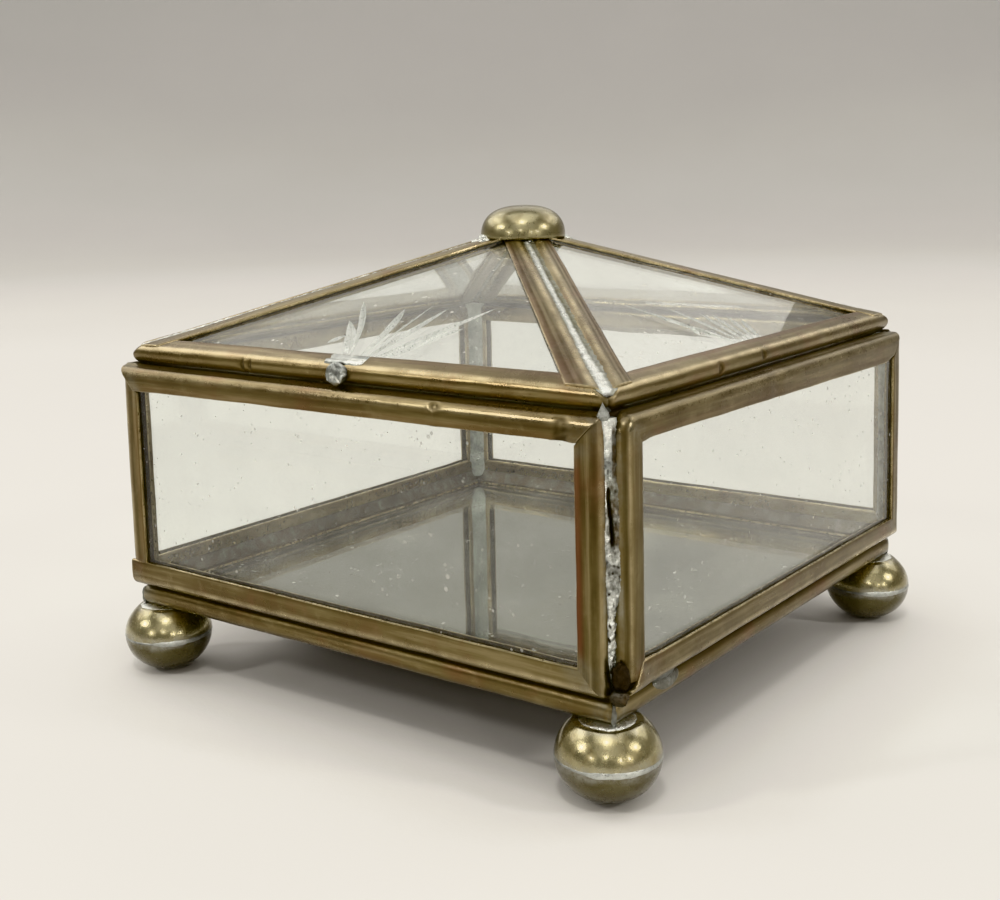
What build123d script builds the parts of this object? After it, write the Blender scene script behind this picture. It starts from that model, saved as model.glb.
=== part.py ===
from build123d import *
import os
from math import sin, cos, tan, atan, atan2, sqrt, radians, degrees

# Glass casket box with a hinged hipped lid, millimetres.
# Origin: centre of the box on the surface that it stands on. +Z up, -Y front,
# +Y hinge side. Every pane is edged with a folded brass came; the framed
# panes meet as round backs and are joined by solder run into the V between
# them.

# ---------------------------------------------------------------- dimensions
# came: thin brass channel folded round the edge of a 2 mm pane
CAME_W = 2.8            # thickness over both lips
CAME_R = CAME_W / 2     # round back
CAME_D = 3.1            # depth from the round back to the lip edge
CAME_T = 0.4            # metal
LIP_R = 0.19            # rounding of the lip edges
GLASS_T = CAME_W - 2 * CAME_T
GLASS_INSET = CAME_R + 0.05   # pane edge, measured in from the round back

# box
HALF = 40.0             # outer face of the walls from the centre
WALL_MID = HALF - CAME_R      # 38.6, middle plane of each wall
WALL_HALF_L = 37.85     # half length of a wall, over its round backs
WALL_Z0 = 12.5
WALL_Z1 = 42.5
BASE_Z = 10.6           # middle plane of the base
BASE_HALF = 38.5        # half size of the base over its round back
BASE_CORNER_R = 1.5
MIRROR_BACK_T = 0.2     # silvering and paint under the base glass

# lid: four triangular panes, a low pyramid
EAVE_Q = 36.85          # centre of the eave's round back from the middle
EAVE_Z = 44.13
APEX_Z = 58.34          # where the middle planes of the panes meet
SLOPE = atan((APEX_Z - EAVE_Z) / EAVE_Q)
HIP_GAP = 0.146         # round back of a hip edge from the hip line

# feet: hollow flattened balls, each of two pressed half shells
FOOT_XY = 35.9
FOOT_R = 5.9
FOOT_H = 9.0            # to the small flat under the base
FOOT_SEMI = 5.12        # semi-axis of the flattened ball
FOOT_EQ = 5.07          # height of the widest circle, where the halves meet
FOOT_SHELL = 0.5
FOOT_SEAM = 0.3         # height of the soldered seam round the equator
COLLAR_R = 4.3
COLLAR_TOP = BASE_Z - CAME_R  # underside of the base came

# finial: domed cap soldered over the peak
CAP_R = 5.85
CAP_Z0 = 57.95
CAP_H = 4.4
CAP_N = 2.5             # fullness of the dome: 2 is an ellipse
CAP_SHELL = 0.5

# hinge
HINGE_Y = 41.15
HINGE_Z = 42.2
PIN_R = 0.6
BORE_R = 0.63
KNUCKLE_R = 1.15
HINGE_HALF = 13.0       # half length over the knuckles
LID_KNUCKLE_HALF = 5.3
KNUCKLE_GAP = 0.3
LEAF_T = 0.45
LEAF_Z0 = 38.4          # lower edge of the fixed leaf
LEAF_MID_Z = 40.5       # upper edge of the fixed leaf under the lid's knuckle
STRAP_Z0 = 42.9
HEEL_Z = 0.87           # depth of the square heel that stops the lid, open

# the scar of the lost lift knob on the front eave
SCAR_X = 0.8
SCAR_Z = 43.9
SCAR_A = 1.7
SCAR_C = 0.95

os.makedirs("parts", exist_ok=True)
nodes = {}


# ------------------------------------------------------------------- helpers
def one(shape):
    """A single closed solid, or the group of them."""
    solids = shape.solids()
    return solids[0] if len(solids) == 1 else Compound(children=list(solids))


def turned(shape, k):
    """The shape turned k quarter turns about the vertical axis."""
    return Rotation(0, 0, 90 * k) * shape


def came_section():
    """Channel section: X in from the round back, Y across the thickness."""
    outer = Pos(CAME_R, 0) * Circle(CAME_R) + Pos((CAME_R + CAME_D) / 2, 0) * Rectangle(CAME_D - CAME_R, CAME_W)
    slot_r = CAME_R - CAME_T
    slot = Pos(CAME_R, 0) * Circle(slot_r) + Pos((CAME_R + CAME_D + 1) / 2, 0) * Rectangle(CAME_D + 1 - CAME_R, 2 * slot_r)
    section = outer - slot
    tips = [v for v in section.vertices() if abs(v.X - CAME_D) < 1e-4]
    return fillet(tips, LIP_R)


def outline_normals(points):
    n = []
    for i, p in enumerate(points):
        q = points[(i + 1) % len(points)]
        dx, dy = q[0] - p[0], q[1] - p[1]
        length = sqrt(dx * dx + dy * dy)
        n.append((-dy / length, dx / length))
    return n


def offset_vertex(points, normals, i, dist):
    """Vertex i of the outline moved in so that both of its edges move by dist."""
    a, b = normals[i - 1], normals[i]
    dot = a[0] * b[0] + a[1] * b[1]
    s = dist / (1 + dot)
    return (points[i][0] + s * (a[0] + b[0]), points[i][1] + s * (a[1] + b[1]))


def came_frame(points):
    """Closed ring of came round a pane, mitred at the corners. The outline is
    the line of the round back, anticlockwise in the local XY plane."""
    section = came_section()
    normals = outline_normals(points)
    count = len(points)
    frame = None
    for i in range(count):
        p, q = points[i], points[(i + 1) % count]
        m = normals[i]
        dx, dy = q[0] - p[0], q[1] - p[1]
        length = sqrt(dx * dx + dy * dy)
        e = (dx / length, dy / length)
        plane = Plane(origin=(p[0] - 5 * e[0], p[1] - 5 * e[1], 0), x_dir=(m[0], m[1], 0), z_dir=(e[0], e[1], 0))
        bar = extrude(plane * section, length + 10)
        foot = [
            offset_vertex(points, normals, i, -1.5),
            offset_vertex(points, normals, (i + 1) % count, -1.5),
            offset_vertex(points, normals, (i + 1) % count, CAME_D + 0.6),
            offset_vertex(points, normals, i, CAME_D + 0.6),
        ]
        wedge = Pos(0, 0, -3) * extrude(make_face(Polyline(*foot, close=True)), 6)
        bar = bar & wedge
        frame = bar if frame is None else frame + bar
    return frame


def pane(points, thickness=GLASS_T, z=0.0):
    """Flat pane that fills the slot of the came round this outline."""
    normals = outline_normals(points)
    inner = [offset_vertex(points, normals, i, GLASS_INSET) for i in range(len(points))]
    return Pos(0, 0, z - thickness / 2) * extrude(make_face(Polyline(*inner, close=True)), thickness)


# --------------------------------------------------------------------- walls
wall_outline = [(-WALL_HALF_L, WALL_Z0), (WALL_HALF_L, WALL_Z0), (WALL_HALF_L, WALL_Z1), (-WALL_HALF_L, WALL_Z1)]
wall_plane = Plane(origin=(0, -WALL_MID, 0), x_dir=(1, 0, 0), z_dir=(0, -1, 0))
wall_came = wall_plane.location * came_frame(wall_outline)
wall_glass = wall_plane.location * pane(wall_outline)
SIDES = {"front": 0, "right": 1, "back": 2, "left": 3}
for side, k in SIDES.items():
    nodes[f"{side}_came"] = turned(wall_came, k)
    nodes[f"{side}_glass"] = turned(wall_glass, k)

# ---------------------------------------------------------------------- base
base_outline = [(-BASE_HALF, -BASE_HALF), (BASE_HALF, -BASE_HALF), (BASE_HALF, BASE_HALF), (-BASE_HALF, BASE_HALF)]
base_ring = Pos(0, 0, BASE_Z) * came_frame(base_outline)
base_round = Pos(0, 0, BASE_Z - 2) * extrude(RectangleRounded(2 * BASE_HALF, 2 * BASE_HALF, BASE_CORNER_R), 4)
nodes["base_came"] = base_ring & base_round
MIRROR_T = GLASS_T - MIRROR_BACK_T
nodes["base_mirror"] = pane(base_outline, MIRROR_T, BASE_Z + MIRROR_BACK_T / 2)
nodes["mirror_silvering"] = pane(base_outline, MIRROR_BACK_T, BASE_Z - MIRROR_T / 2)

# solder between the walls' lower edges and the base: section in Y and Z at the
# front, run round the four sides
wy, wz = -WALL_MID, WALL_Z0 + CAME_R
by, bz = -(BASE_HALF - CAME_R), BASE_Z
dist = sqrt((by - wy) ** 2 + (bz - wz) ** 2)
ty, tz = (by - wy) / dist, (bz - wz) / dist      # from wall edge to base edge
ny, nz = tz, -ty                                 # outward
seam_points = [
    (wy, wz),
    (wy + CAME_R, wz),
    (by + 0.85, bz + CAME_R),
    (by, bz + CAME_R),
    (by, bz),
    (by - 1.25 * ty + 0.5 * ny, bz - 1.25 * tz + 0.5 * nz),
    (wy + 1.25 * ty + 0.5 * ny, wz + 1.25 * tz + 0.5 * nz),
]
seam_section = make_face(Polyline(*seam_points, close=True))
seam_section = seam_section - Pos(wy, wz) * Circle(CAME_R) - Pos(by, bz) * Circle(CAME_R)
yz_plane = Plane(origin=(-45, 0, 0), x_dir=(0, 1, 0), z_dir=(1, 0, 0))
seam_bar = extrude(yz_plane * seam_section, 90)
seam_wedge = Pos(0, 0, 8) * extrude(make_face(Polyline((0, 0), (-45, -45), (45, -45), close=True)), 10)
seam_bar = seam_bar & seam_wedge
seam_ring = seam_bar
for k in (1, 2, 3):
    seam_ring = seam_ring + turned(seam_bar, k)
nodes["base_solder_seam"] = seam_ring

# ------------------------------------------------- solder at the four corners
# plan section at the corner of +X and -Y: outer bead, throat and inner fillet
c_edge = WALL_HALF_L - CAME_R                    # 36.45
inner_face = WALL_MID - CAME_R                   # 37.2
ax, ay = c_edge, -WALL_MID
bx2, by2 = WALL_MID, -c_edge
mx, my = (ax + bx2) / 2, (ay + by2) / 2
h = sqrt(0.5)
BEAD_N = 0.85
FILLET_IN = 2.2
corner_points = [
    (inner_face - FILLET_IN, -inner_face),
    (inner_face, -(inner_face - FILLET_IN)),
    (inner_face, by2),
    (bx2, by2),
    (mx + h * BEAD_N + h * 0.45, my - h * BEAD_N + h * 0.45),
    (mx + h * BEAD_N - h * 0.45, my - h * BEAD_N - h * 0.45),
    (ax, ay),
    (ax, -inner_face),
]
corner_section = make_face(Polyline(*corner_points, close=True))
corner_section = corner_section - Pos(ax, ay) * Circle(CAME_R) - Pos(bx2, by2) * Circle(CAME_R)
corner_bar = Pos(0, 0, 14.0) * extrude(corner_section, 42.3 - 14.0)
for name, k in {"front_right": 0, "back_right": 1, "back_left": 2, "front_left": 3}.items():
    nodes[f"corner_solder_{name}"] = turned(corner_bar, k)

# ---------------------------------------------------------------------- feet
def half_arc(a, c, zc, z0, z1, count=9):
    """Points on an ellipse of half axes a and c about height zc, from height
    z0 to height z1, on the side of +X."""
    t0 = atan2((z0 - zc) / c, sqrt(max(0.0, 1 - ((z0 - zc) / c) ** 2)))
    t1 = atan2((z1 - zc) / c, sqrt(max(0.0, 1 - ((z1 - zc) / c) ** 2)))
    return [(a * cos(t0 + (t1 - t0) * i / (count - 1)), zc + c * sin(t0 + (t1 - t0) * i / (count - 1))) for i in range(count)]


def dome_section(a, c, zc, z0, z1, n=2.0):
    """Half section of a solid of revolution under an ellipse, or a fuller
    curve where n is over 2: X is the radius."""
    pts = half_arc(a, c, zc, z0, z1)
    if n != 2.0:
        top = ((z1 - zc) / c) ** (n / 2)
        angles = [atan2(top, sqrt(1 - top * top)) * i / 12 for i in range(13)]
        pts = [(a * cos(t) ** (2 / n), zc + c * sin(t) ** (2 / n)) for t in angles]
    return make_face(Spline(*pts) + Polyline(pts[-1], (0, pts[-1][1]), (0, pts[0][1]), pts[0]))


def ball_profile(z0, z1):
    """Half section of the hollow ball between two heights: X is the radius."""
    zc = FOOT_EQ
    outer = dome_section(FOOT_R, FOOT_SEMI, zc, z0, z1)
    if z0 < zc:
        inner = dome_section(FOOT_R - FOOT_SHELL, FOOT_SEMI - FOOT_SHELL, zc, z0 + FOOT_SHELL, z1)
    else:
        inner = dome_section(FOOT_R - FOOT_SHELL, FOOT_SEMI - FOOT_SHELL, zc, z0, z1 - FOOT_SHELL)
    return outer - inner


def revolved(section):
    """Section drawn with X as radius and Y as height, turned about Z."""
    return revolve(Plane.XZ * section, Axis.Z, 360)


z_eq = FOOT_EQ
lower = revolved(ball_profile(0.0, z_eq - FOOT_SEAM / 2))
upper = revolved(ball_profile(z_eq + FOOT_SEAM / 2, FOOT_H))
ring = revolved(Pos(FOOT_R - 0.2, z_eq) * Rectangle(0.5, FOOT_SEAM))
collar_section = Pos(COLLAR_R / 2, (8.4 + COLLAR_TOP) / 2) * Rectangle(COLLAR_R, COLLAR_TOP - 8.4)
collar_section = collar_section - dome_section(FOOT_R, FOOT_SEMI, z_eq, z_eq + 0.2, FOOT_H)
collar = revolved(collar_section)
rings, collars = [], []
for name, (sx, sy) in {"front_right": (1, -1), "back_right": (1, 1), "back_left": (-1, 1), "front_left": (-1, -1)}.items():
    at = Pos(sx * FOOT_XY, sy * FOOT_XY, 0)
    nodes[f"foot_{name}_lower"] = at * lower
    nodes[f"foot_{name}_upper"] = at * upper
    rings.append(one(at * ring))
    collars.append(one(at * collar))
nodes["foot_equator_solder"] = Compound(children=rings)
nodes["foot_collar_solder"] = Compound(children=collars)

# ----------------------------------------------------------------------- lid
ca, sa = cos(SLOPE), sin(SLOPE)
alpha = atan(1 / ca)                             # base angle of the pane
lid_plane = Plane(origin=(0, -EAVE_Q, EAVE_Z), x_dir=(1, 0, 0), z_dir=(0, -sa, ca))


def hip_u(v):
    """Half width of the pane's outline at height v up the slope."""
    return EAVE_Q - v * ca - HIP_GAP / sin(alpha)


v0 = -CAME_R
v_apex = (EAVE_Q - HIP_GAP / sin(alpha)) / ca
lid_outline = [(-hip_u(v0), v0), (hip_u(v0), v0), (0, v_apex)]
lid_came = lid_plane.location * came_frame(lid_outline)
lid_glass = lid_plane.location * pane(lid_outline)
for side, k in SIDES.items():
    nodes[f"lid_{side}_came"] = turned(lid_came, k)
    nodes[f"lid_{side}_glass"] = turned(lid_glass, k)

# solder in the V of each hip: section square to the hip line
rise = APEX_Z - EAVE_Z
hip_len = sqrt(2 * EAVE_Q ** 2 + rise ** 2)
hip_dir = Vector(-EAVE_Q, EAVE_Q, rise) / hip_len
across = Vector(h, h, 0)
hip_n = hip_dir.cross(across)
if hip_n.Z < 0:
    hip_n = hip_n * -1
n_in = Vector(-sin(alpha), -cos(alpha) * ca, -cos(alpha) * sa)   # in from the hip, in the front pane
c_off = n_in * (CAME_R + HIP_GAP)
cp, cn = c_off.dot(across), c_off.dot(hip_n)
HIP_BEAD_N = 0.55
hip_points = [(cp, cn), (-0.42, -1.2), (0.42, -1.2), (-cp, cn), (0.5, HIP_BEAD_N), (-0.5, HIP_BEAD_N)]
hip_section = make_face(Polyline(*hip_points, close=True))
hip_section = hip_section - Pos(cp, cn) * Circle(CAME_R) - Pos(-cp, cn) * Circle(CAME_R)
HIP_S0, HIP_S1 = 1.2, hip_len - 1.3
start = Vector(EAVE_Q, -EAVE_Q, EAVE_Z) + hip_dir * HIP_S0
hip_plane = Plane(origin=start, x_dir=across, z_dir=across.cross(hip_n))
sign = 1 if hip_plane.z_dir.dot(hip_dir) > 0 else -1
hip_bar = extrude(hip_plane * hip_section, sign * (HIP_S1 - HIP_S0))
for name, k in {"front_right": 0, "back_right": 1, "back_left": 2, "front_left": 3}.items():
    nodes[f"hip_solder_{name}"] = turned(hip_bar, k)

# -------------------------------------------------------------------- finial
CAP_FLAT_Z = 0.03        # depth of the small flat at the top of the dome
cap_outer = dome_section(CAP_R, CAP_H, CAP_Z0, CAP_Z0, CAP_Z0 + CAP_H - CAP_FLAT_Z, CAP_N)
cap_inner = dome_section(CAP_R - CAP_SHELL, CAP_H - CAP_SHELL, CAP_Z0, CAP_Z0, CAP_Z0 + CAP_H - CAP_SHELL - CAP_FLAT_Z, CAP_N)
nodes["finial_cap"] = revolved(cap_outer - cap_inner)

plug_section = cap_inner & (Pos(1.2, CAP_Z0 + CAP_H / 2) * Rectangle(2.4, CAP_H))
plug_section = plug_section + Pos(1.2, CAP_Z0 - 0.6) * Rectangle(2.4, 1.2)
plug = revolved(plug_section)
for k in range(4):
    plug = plug - turned(lid_came, k) - turned(hip_bar, k)
plug = sorted(plug.solids(), key=lambda s: s.volume)[-1]
nodes["finial_solder"] = plug

# --------------------------------------------------------------------- hinge
hinge_plane = Plane(origin=(0, 0, 0), x_dir=(0, 1, 0), z_dir=(1, 0, 0))


def along_x(section, x0, x1):
    return Pos(x0, 0, 0) * extrude(hinge_plane * section, x1 - x0)


bore = Pos(HINGE_Y, HINGE_Z) * Circle(BORE_R)
barrel = Pos(HINGE_Y, HINGE_Z) * Circle(KNUCKLE_R)
fixed_plate = Pos(HALF + LEAF_T / 2, (LEAF_Z0 + HINGE_Z) / 2) * Rectangle(LEAF_T, HINGE_Z - LEAF_Z0)
fixed_knuckle = barrel + fixed_plate - bore
x_in = LID_KNUCKLE_HALF + KNUCKLE_GAP
mid_plate = Pos(HALF + LEAF_T / 2, (LEAF_Z0 + LEAF_MID_Z) / 2) * Rectangle(LEAF_T, LEAF_MID_Z - LEAF_Z0)
nodes["hinge_body_leaf"] = (along_x(fixed_knuckle, -HINGE_HALF, -x_in) + along_x(fixed_knuckle, x_in, HINGE_HALF)
                            + along_x(mid_plate, -x_in, x_in))

strap_z1 = HINGE_Z + KNUCKLE_R
strap = Pos((EAVE_Q + HINGE_Y) / 2, (STRAP_Z0 + strap_z1) / 2) * Rectangle(HINGE_Y - EAVE_Q, strap_z1 - STRAP_Z0)
heel = Pos(HINGE_Y + KNUCKLE_R / 2, HINGE_Z - HEEL_Z / 2) * Rectangle(KNUCKLE_R, HEEL_Z)
eave_round = Pos(EAVE_Q, EAVE_Z) * Circle(CAME_R)
lid_knuckle = barrel + strap + heel - bore - eave_round
nodes["hinge_lid_leaf"] = along_x(lid_knuckle, -LID_KNUCKLE_HALF, LID_KNUCKLE_HALF)

pin = along_x(Pos(HINGE_Y, HINGE_Z) * Circle(PIN_R), -HINGE_HALF - 0.35, HINGE_HALF + 0.35)
for x0 in (-HINGE_HALF - 0.35, HINGE_HALF):
    pin = pin + along_x(Pos(HINGE_Y, HINGE_Z) * Circle(0.95), x0, x0 + 0.35)
nodes["hinge_pin"] = pin

# scar of solder where the lift knob was, on the round back of the front eave
scar = Plane(origin=(SCAR_X, -EAVE_Q - 1.0, SCAR_Z), x_dir=(1, 0, 0), z_dir=(0, -1, 0)) * Ellipse(SCAR_A, SCAR_C)
scar = extrude(scar, 0.95)
round_back = Pos(SCAR_X - 5, 0, 0) * extrude(Plane(origin=(0, 0, 0), x_dir=(0, 1, 0), z_dir=(1, 0, 0)) * (Pos(-EAVE_Q, EAVE_Z) * Circle(CAME_R)), 10)
scar = scar - round_back
nodes["knob_solder_scar"] = sorted(scar.solids(), key=lambda s: s.volume)[-1]

# --------------------------------------------------------------------- write
for old in os.listdir("parts"):
    if old.endswith(".step") and old[:-5] not in nodes:
        os.remove(os.path.join("parts", old))
for name, shape in nodes.items():
    shape = one(shape) if not isinstance(shape, (Solid, Compound)) or len(shape.solids()) == 1 else shape
    shape.label = name
    export_step(shape, f"parts/{name}.step")
    print(f"{name:28s} solids {len(shape.solids())} volume {shape.volume:9.2f}")
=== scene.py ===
import math
import random
import bpy
import bmesh
import numpy as np
from mathutils import Vector, Matrix, noise
from mathutils.geometry import delaunay_2d_cdt


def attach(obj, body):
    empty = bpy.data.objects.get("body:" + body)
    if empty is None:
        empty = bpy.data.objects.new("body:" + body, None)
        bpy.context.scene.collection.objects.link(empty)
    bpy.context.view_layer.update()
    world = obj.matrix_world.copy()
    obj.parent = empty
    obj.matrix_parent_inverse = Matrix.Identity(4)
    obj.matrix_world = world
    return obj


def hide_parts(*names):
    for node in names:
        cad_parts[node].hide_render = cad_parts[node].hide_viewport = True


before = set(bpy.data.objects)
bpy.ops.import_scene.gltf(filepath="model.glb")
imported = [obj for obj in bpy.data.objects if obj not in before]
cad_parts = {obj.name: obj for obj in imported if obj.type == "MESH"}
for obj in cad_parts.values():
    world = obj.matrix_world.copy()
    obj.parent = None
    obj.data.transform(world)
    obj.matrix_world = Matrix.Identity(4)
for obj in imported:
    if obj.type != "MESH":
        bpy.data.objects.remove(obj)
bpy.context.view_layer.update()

MM = 0.001

# ------------------------------------------------------------------ camera
cam_data = bpy.data.cameras.new("camera")
cam_data.sensor_fit = "HORIZONTAL"
cam_data.sensor_width = 36.0
cam_data.lens = 50.0896
cam_data.shift_x = 0.01673
cam_data.shift_y = -0.1023
cam_data.clip_start = 0.005
cam_data.clip_end = 50.0
cam = bpy.data.objects.new("camera", cam_data)
bpy.context.scene.collection.objects.link(cam)
yaw, pitch, roll = math.radians(127.4679), math.radians(-7.7853), math.radians(-1.5017)
fw = Vector((math.cos(pitch) * math.cos(yaw), math.cos(pitch) * math.sin(yaw), math.sin(pitch)))
rt = Vector((math.sin(yaw), -math.cos(yaw), 0))
up = rt.cross(fw)
r2 = math.cos(roll) * rt + math.sin(roll) * up
u2 = -math.sin(roll) * rt + math.cos(roll) * up
mw = Matrix.Identity(4)
for i in range(3):
    mw[i][0], mw[i][1], mw[i][2] = r2[i], u2[i], -fw[i]
mw.translation = Vector((0.112930, -0.156666, 0.069001))
cam.matrix_world = mw
bpy.context.scene.camera = cam


# --------------------------------------------------------------- materials
class Nodes:
    """Small helper that builds one material's nodes."""

    def __init__(self, name):
        self.mat = bpy.data.materials.new(name)
        self.mat.use_nodes = True
        self.nt = self.mat.node_tree
        self.nt.nodes.clear()
        self.out = self.nt.nodes.new("ShaderNodeOutputMaterial")

    def new(self, kind, **inputs):
        n = self.nt.nodes.new(kind)
        for key, value in inputs.items():
            if key.startswith("p_"):
                setattr(n, key[2:], value)
            else:
                self.set(n.inputs[key.replace("_", " ")], value)
        return n

    def set(self, socket, value):
        if isinstance(value, bpy.types.NodeSocket):
            self.nt.links.new(value, socket)
        elif isinstance(value, (tuple, list)) and len(value) == 3 and socket.type == "RGBA":
            socket.default_value = (*value, 1.0)
        else:
            socket.default_value = value

    def coords(self, scale=(1, 1, 1), rot=(0, 0, 0), loc=(0, 0, 0)):
        tc = self.new("ShaderNodeTexCoord")
        m = self.new("ShaderNodeMapping", Scale=scale, Rotation=rot, Location=loc)
        self.nt.links.new(tc.outputs["Object"], m.inputs["Vector"])
        return m.outputs["Vector"]

    def noise(self, scale, detail=3.0, rough=0.55, vec=None, distortion=0.0):
        n = self.new("ShaderNodeTexNoise", Scale=scale, Detail=detail, Roughness=rough, Distortion=distortion)
        self.nt.links.new(vec if vec is not None else self.coords(), n.inputs["Vector"])
        return n.outputs["Fac"]

    def ramp(self, fac, stops, mode="LINEAR"):
        r = self.new("ShaderNodeValToRGB")
        r.color_ramp.interpolation = mode
        els = r.color_ramp.elements
        while len(els) < len(stops):
            els.new(0.5)
        for el, (pos, col) in zip(els, stops):
            el.position = pos
            el.color = (*col, 1.0) if isinstance(col, (tuple, list)) else (col, col, col, 1.0)
        self.set(r.inputs["Fac"], fac)
        return r.outputs["Color"]

    def mix(self, fac, a, b, blend="MIX"):
        m = self.new("ShaderNodeMix", p_data_type="RGBA", p_blend_type=blend)
        self.set(m.inputs[0], fac)
        self.set(m.inputs[6], a)
        self.set(m.inputs[7], b)
        return m.outputs[2]

    def math(self, op, a, b=0.0, c=0.0, clamp=False):
        m = self.new("ShaderNodeMath", p_operation=op, p_use_clamp=clamp)
        self.set(m.inputs[0], a)
        self.set(m.inputs[1], b)
        self.set(m.inputs[2], c)
        return m.outputs[0]

    def attr(self, name):
        a = self.new("ShaderNodeAttribute", p_attribute_type="GEOMETRY", p_attribute_name=name)
        return a.outputs["Fac"]

    def bump(self, height, distance, strength=1.0, normal=None):
        b = self.new("ShaderNodeBump", Height=height, Distance=distance, Strength=strength)
        if normal is not None:
            self.nt.links.new(normal, b.inputs["Normal"])
        return b.outputs["Normal"]

    def principled(self, **inputs):
        p = self.nt.nodes.new("ShaderNodeBsdfPrincipled")
        for key, value in inputs.items():
            self.set(p.inputs[key.replace("_", " ")], value)
        return p

    def finish(self, shader):
        self.nt.links.new(shader, self.out.inputs["Surface"])
        return self.mat


def came_material(name, seed, tone=1.0, red=0.5):
    """Old brass channel: olive brown tarnish with streaks along its length,
    redder places, dark at the glass. The light brass along its bends, lip edges
    and some cut ends is partly rubbed metal and partly painted highlight; cav
    also paints shade in the creases, under the lid and in the base groove."""
    n = Nodes(name)
    loc = (seed * 0.013, seed * 0.007, seed * 0.019)
    v = n.coords(loc=loc)
    along = n.new("ShaderNodeCombineXYZ")
    n.nt.links.new(n.math("MULTIPLY", n.attr("ps"), 0.07), along.inputs[0])
    n.nt.links.new(n.math("MULTIPLY", n.attr("pa"), 1.25), along.inputs[1])
    along.inputs[2].default_value = seed * 1.7
    streak = n.noise(1.0, 4.0, 0.62, along.outputs[0])
    drawn = n.new("ShaderNodeCombineXYZ")
    n.nt.links.new(n.math("MULTIPLY", n.attr("ps"), 0.7), drawn.inputs[0])
    n.nt.links.new(n.math("MULTIPLY", n.attr("pa"), 16.0), drawn.inputs[1])
    drawn.inputs[2].default_value = seed * 0.9
    fine_line = n.noise(1.0, 2.0, 0.6, drawn.outputs[0])
    broad = n.noise(75, 3.0, 0.55, v)
    patch = n.noise(330, 4.0, 0.6, v, 0.4)
    fine = n.noise(1500, 4.0, 0.6, v)
    olive = (0.200 * tone, 0.163 * tone, 0.084 * tone)
    tan = (0.290 * tone, 0.240 * tone, 0.138 * tone)
    brown = (0.118 * tone, 0.086 * tone, 0.043 * tone)
    rust = (0.190 * tone, 0.108 * tone, 0.064 * tone)
    base = n.mix(n.ramp(broad, [(0.36, 0.15), (0.64, 0.95)]), brown, olive)
    base = n.mix(n.ramp(streak, [(0.50, 0.0), (0.66, 0.70)]), base, tan)
    base = n.mix(n.ramp(streak, [(0.34, 0.65), (0.47, 0.0)]), base, brown)
    base = n.mix(n.ramp(patch, [(0.56, 0.0), (0.74, 0.45)]), base, tan)
    redn = n.noise(120, 3.0, 0.55, n.coords(loc=(loc[1] + 0.3, loc[0], 0.1)), 0.5)
    base = n.mix(n.ramp(redn, [(0.60 - 0.10 * red, 0.0), (0.80 - 0.10 * red, 0.65)]), base, rust)
    base = n.mix(n.math("MULTIPLY", n.attr("red"), n.ramp(broad, [(0.3, 0.5), (0.6, 1.0)])), base, (0.150 * tone, 0.066 * tone, 0.040 * tone))
    # rubbed metal and painted highlight: light brass where the edge attribute is high
    edge = n.attr("edge")
    wear_and_highlight = n.math("MULTIPLY", edge, n.ramp(n.noise(300, 4.0, 0.6, v), [(0.32, 0.15), (0.66, 0.85)]), clamp=True)
    base = n.mix(wear_and_highlight, base, (0.55 * tone, 0.465 * tone, 0.290 * tone))
    # tinning left by the solder beside the seams
    tin = n.math("MULTIPLY", n.attr("tin"), n.ramp(n.noise(420, 4.0, 0.65, v), [(0.38, 0.0), (0.62, 1.0)]), clamp=True)
    base = n.mix(tin, base, (0.33, 0.35, 0.32))
    # small dark spots; cav darkens the glass slots and paints shade in creases, under the lid, in the base groove and
    # round dents
    spots = n.ramp(n.noise(2100, 3.0, 0.7, v), [(0.70, 0.0), (0.78, 1.0)])
    base = n.mix(n.math("MULTIPLY", spots, 0.5), base, (0.045, 0.032, 0.018))
    cav = n.math("MULTIPLY", n.attr("cav"), n.ramp(n.noise(600, 4.0, 0.6, v), [(0.25, 0.65), (0.6, 1.0)]), clamp=True)
    base = n.mix(n.math("MULTIPLY", cav, 0.95), base, (0.020, 0.014, 0.008))
    rough = n.math("ADD", n.ramp(fine, [(0.30, 0.26), (0.70, 0.36)]), n.math("MULTIPLY", n.math("SUBTRACT", broad, 0.5), 0.16))
    rough = n.math("ADD", rough, n.math("MULTIPLY", cav, 0.45))
    rough = n.math("SUBTRACT", rough, n.math("MULTIPLY", wear_and_highlight, 0.06))
    height = n.math("ADD", n.math("MULTIPLY", n.noise(700, 3.0, 0.5, v), 0.55), n.math("MULTIPLY", n.noise(3600, 2.0, 0.5, v), 0.16))
    height = n.math("ADD", height, n.math("MULTIPLY", fine_line, 0.10))
    height = n.math("SUBTRACT", height, n.math("MULTIPLY", spots, 0.35))
    nrm = n.bump(height, 0.00006, 0.42)
    coat = n.math("MULTIPLY", n.math("SUBTRACT", 1.0, cav), 0.22)
    p = n.principled(Base_Color=base, Metallic=1.0, Roughness=rough, Normal=nrm, Coat_Weight=coat, Coat_Roughness=0.30)
    return n.finish(p.outputs[0])


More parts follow.
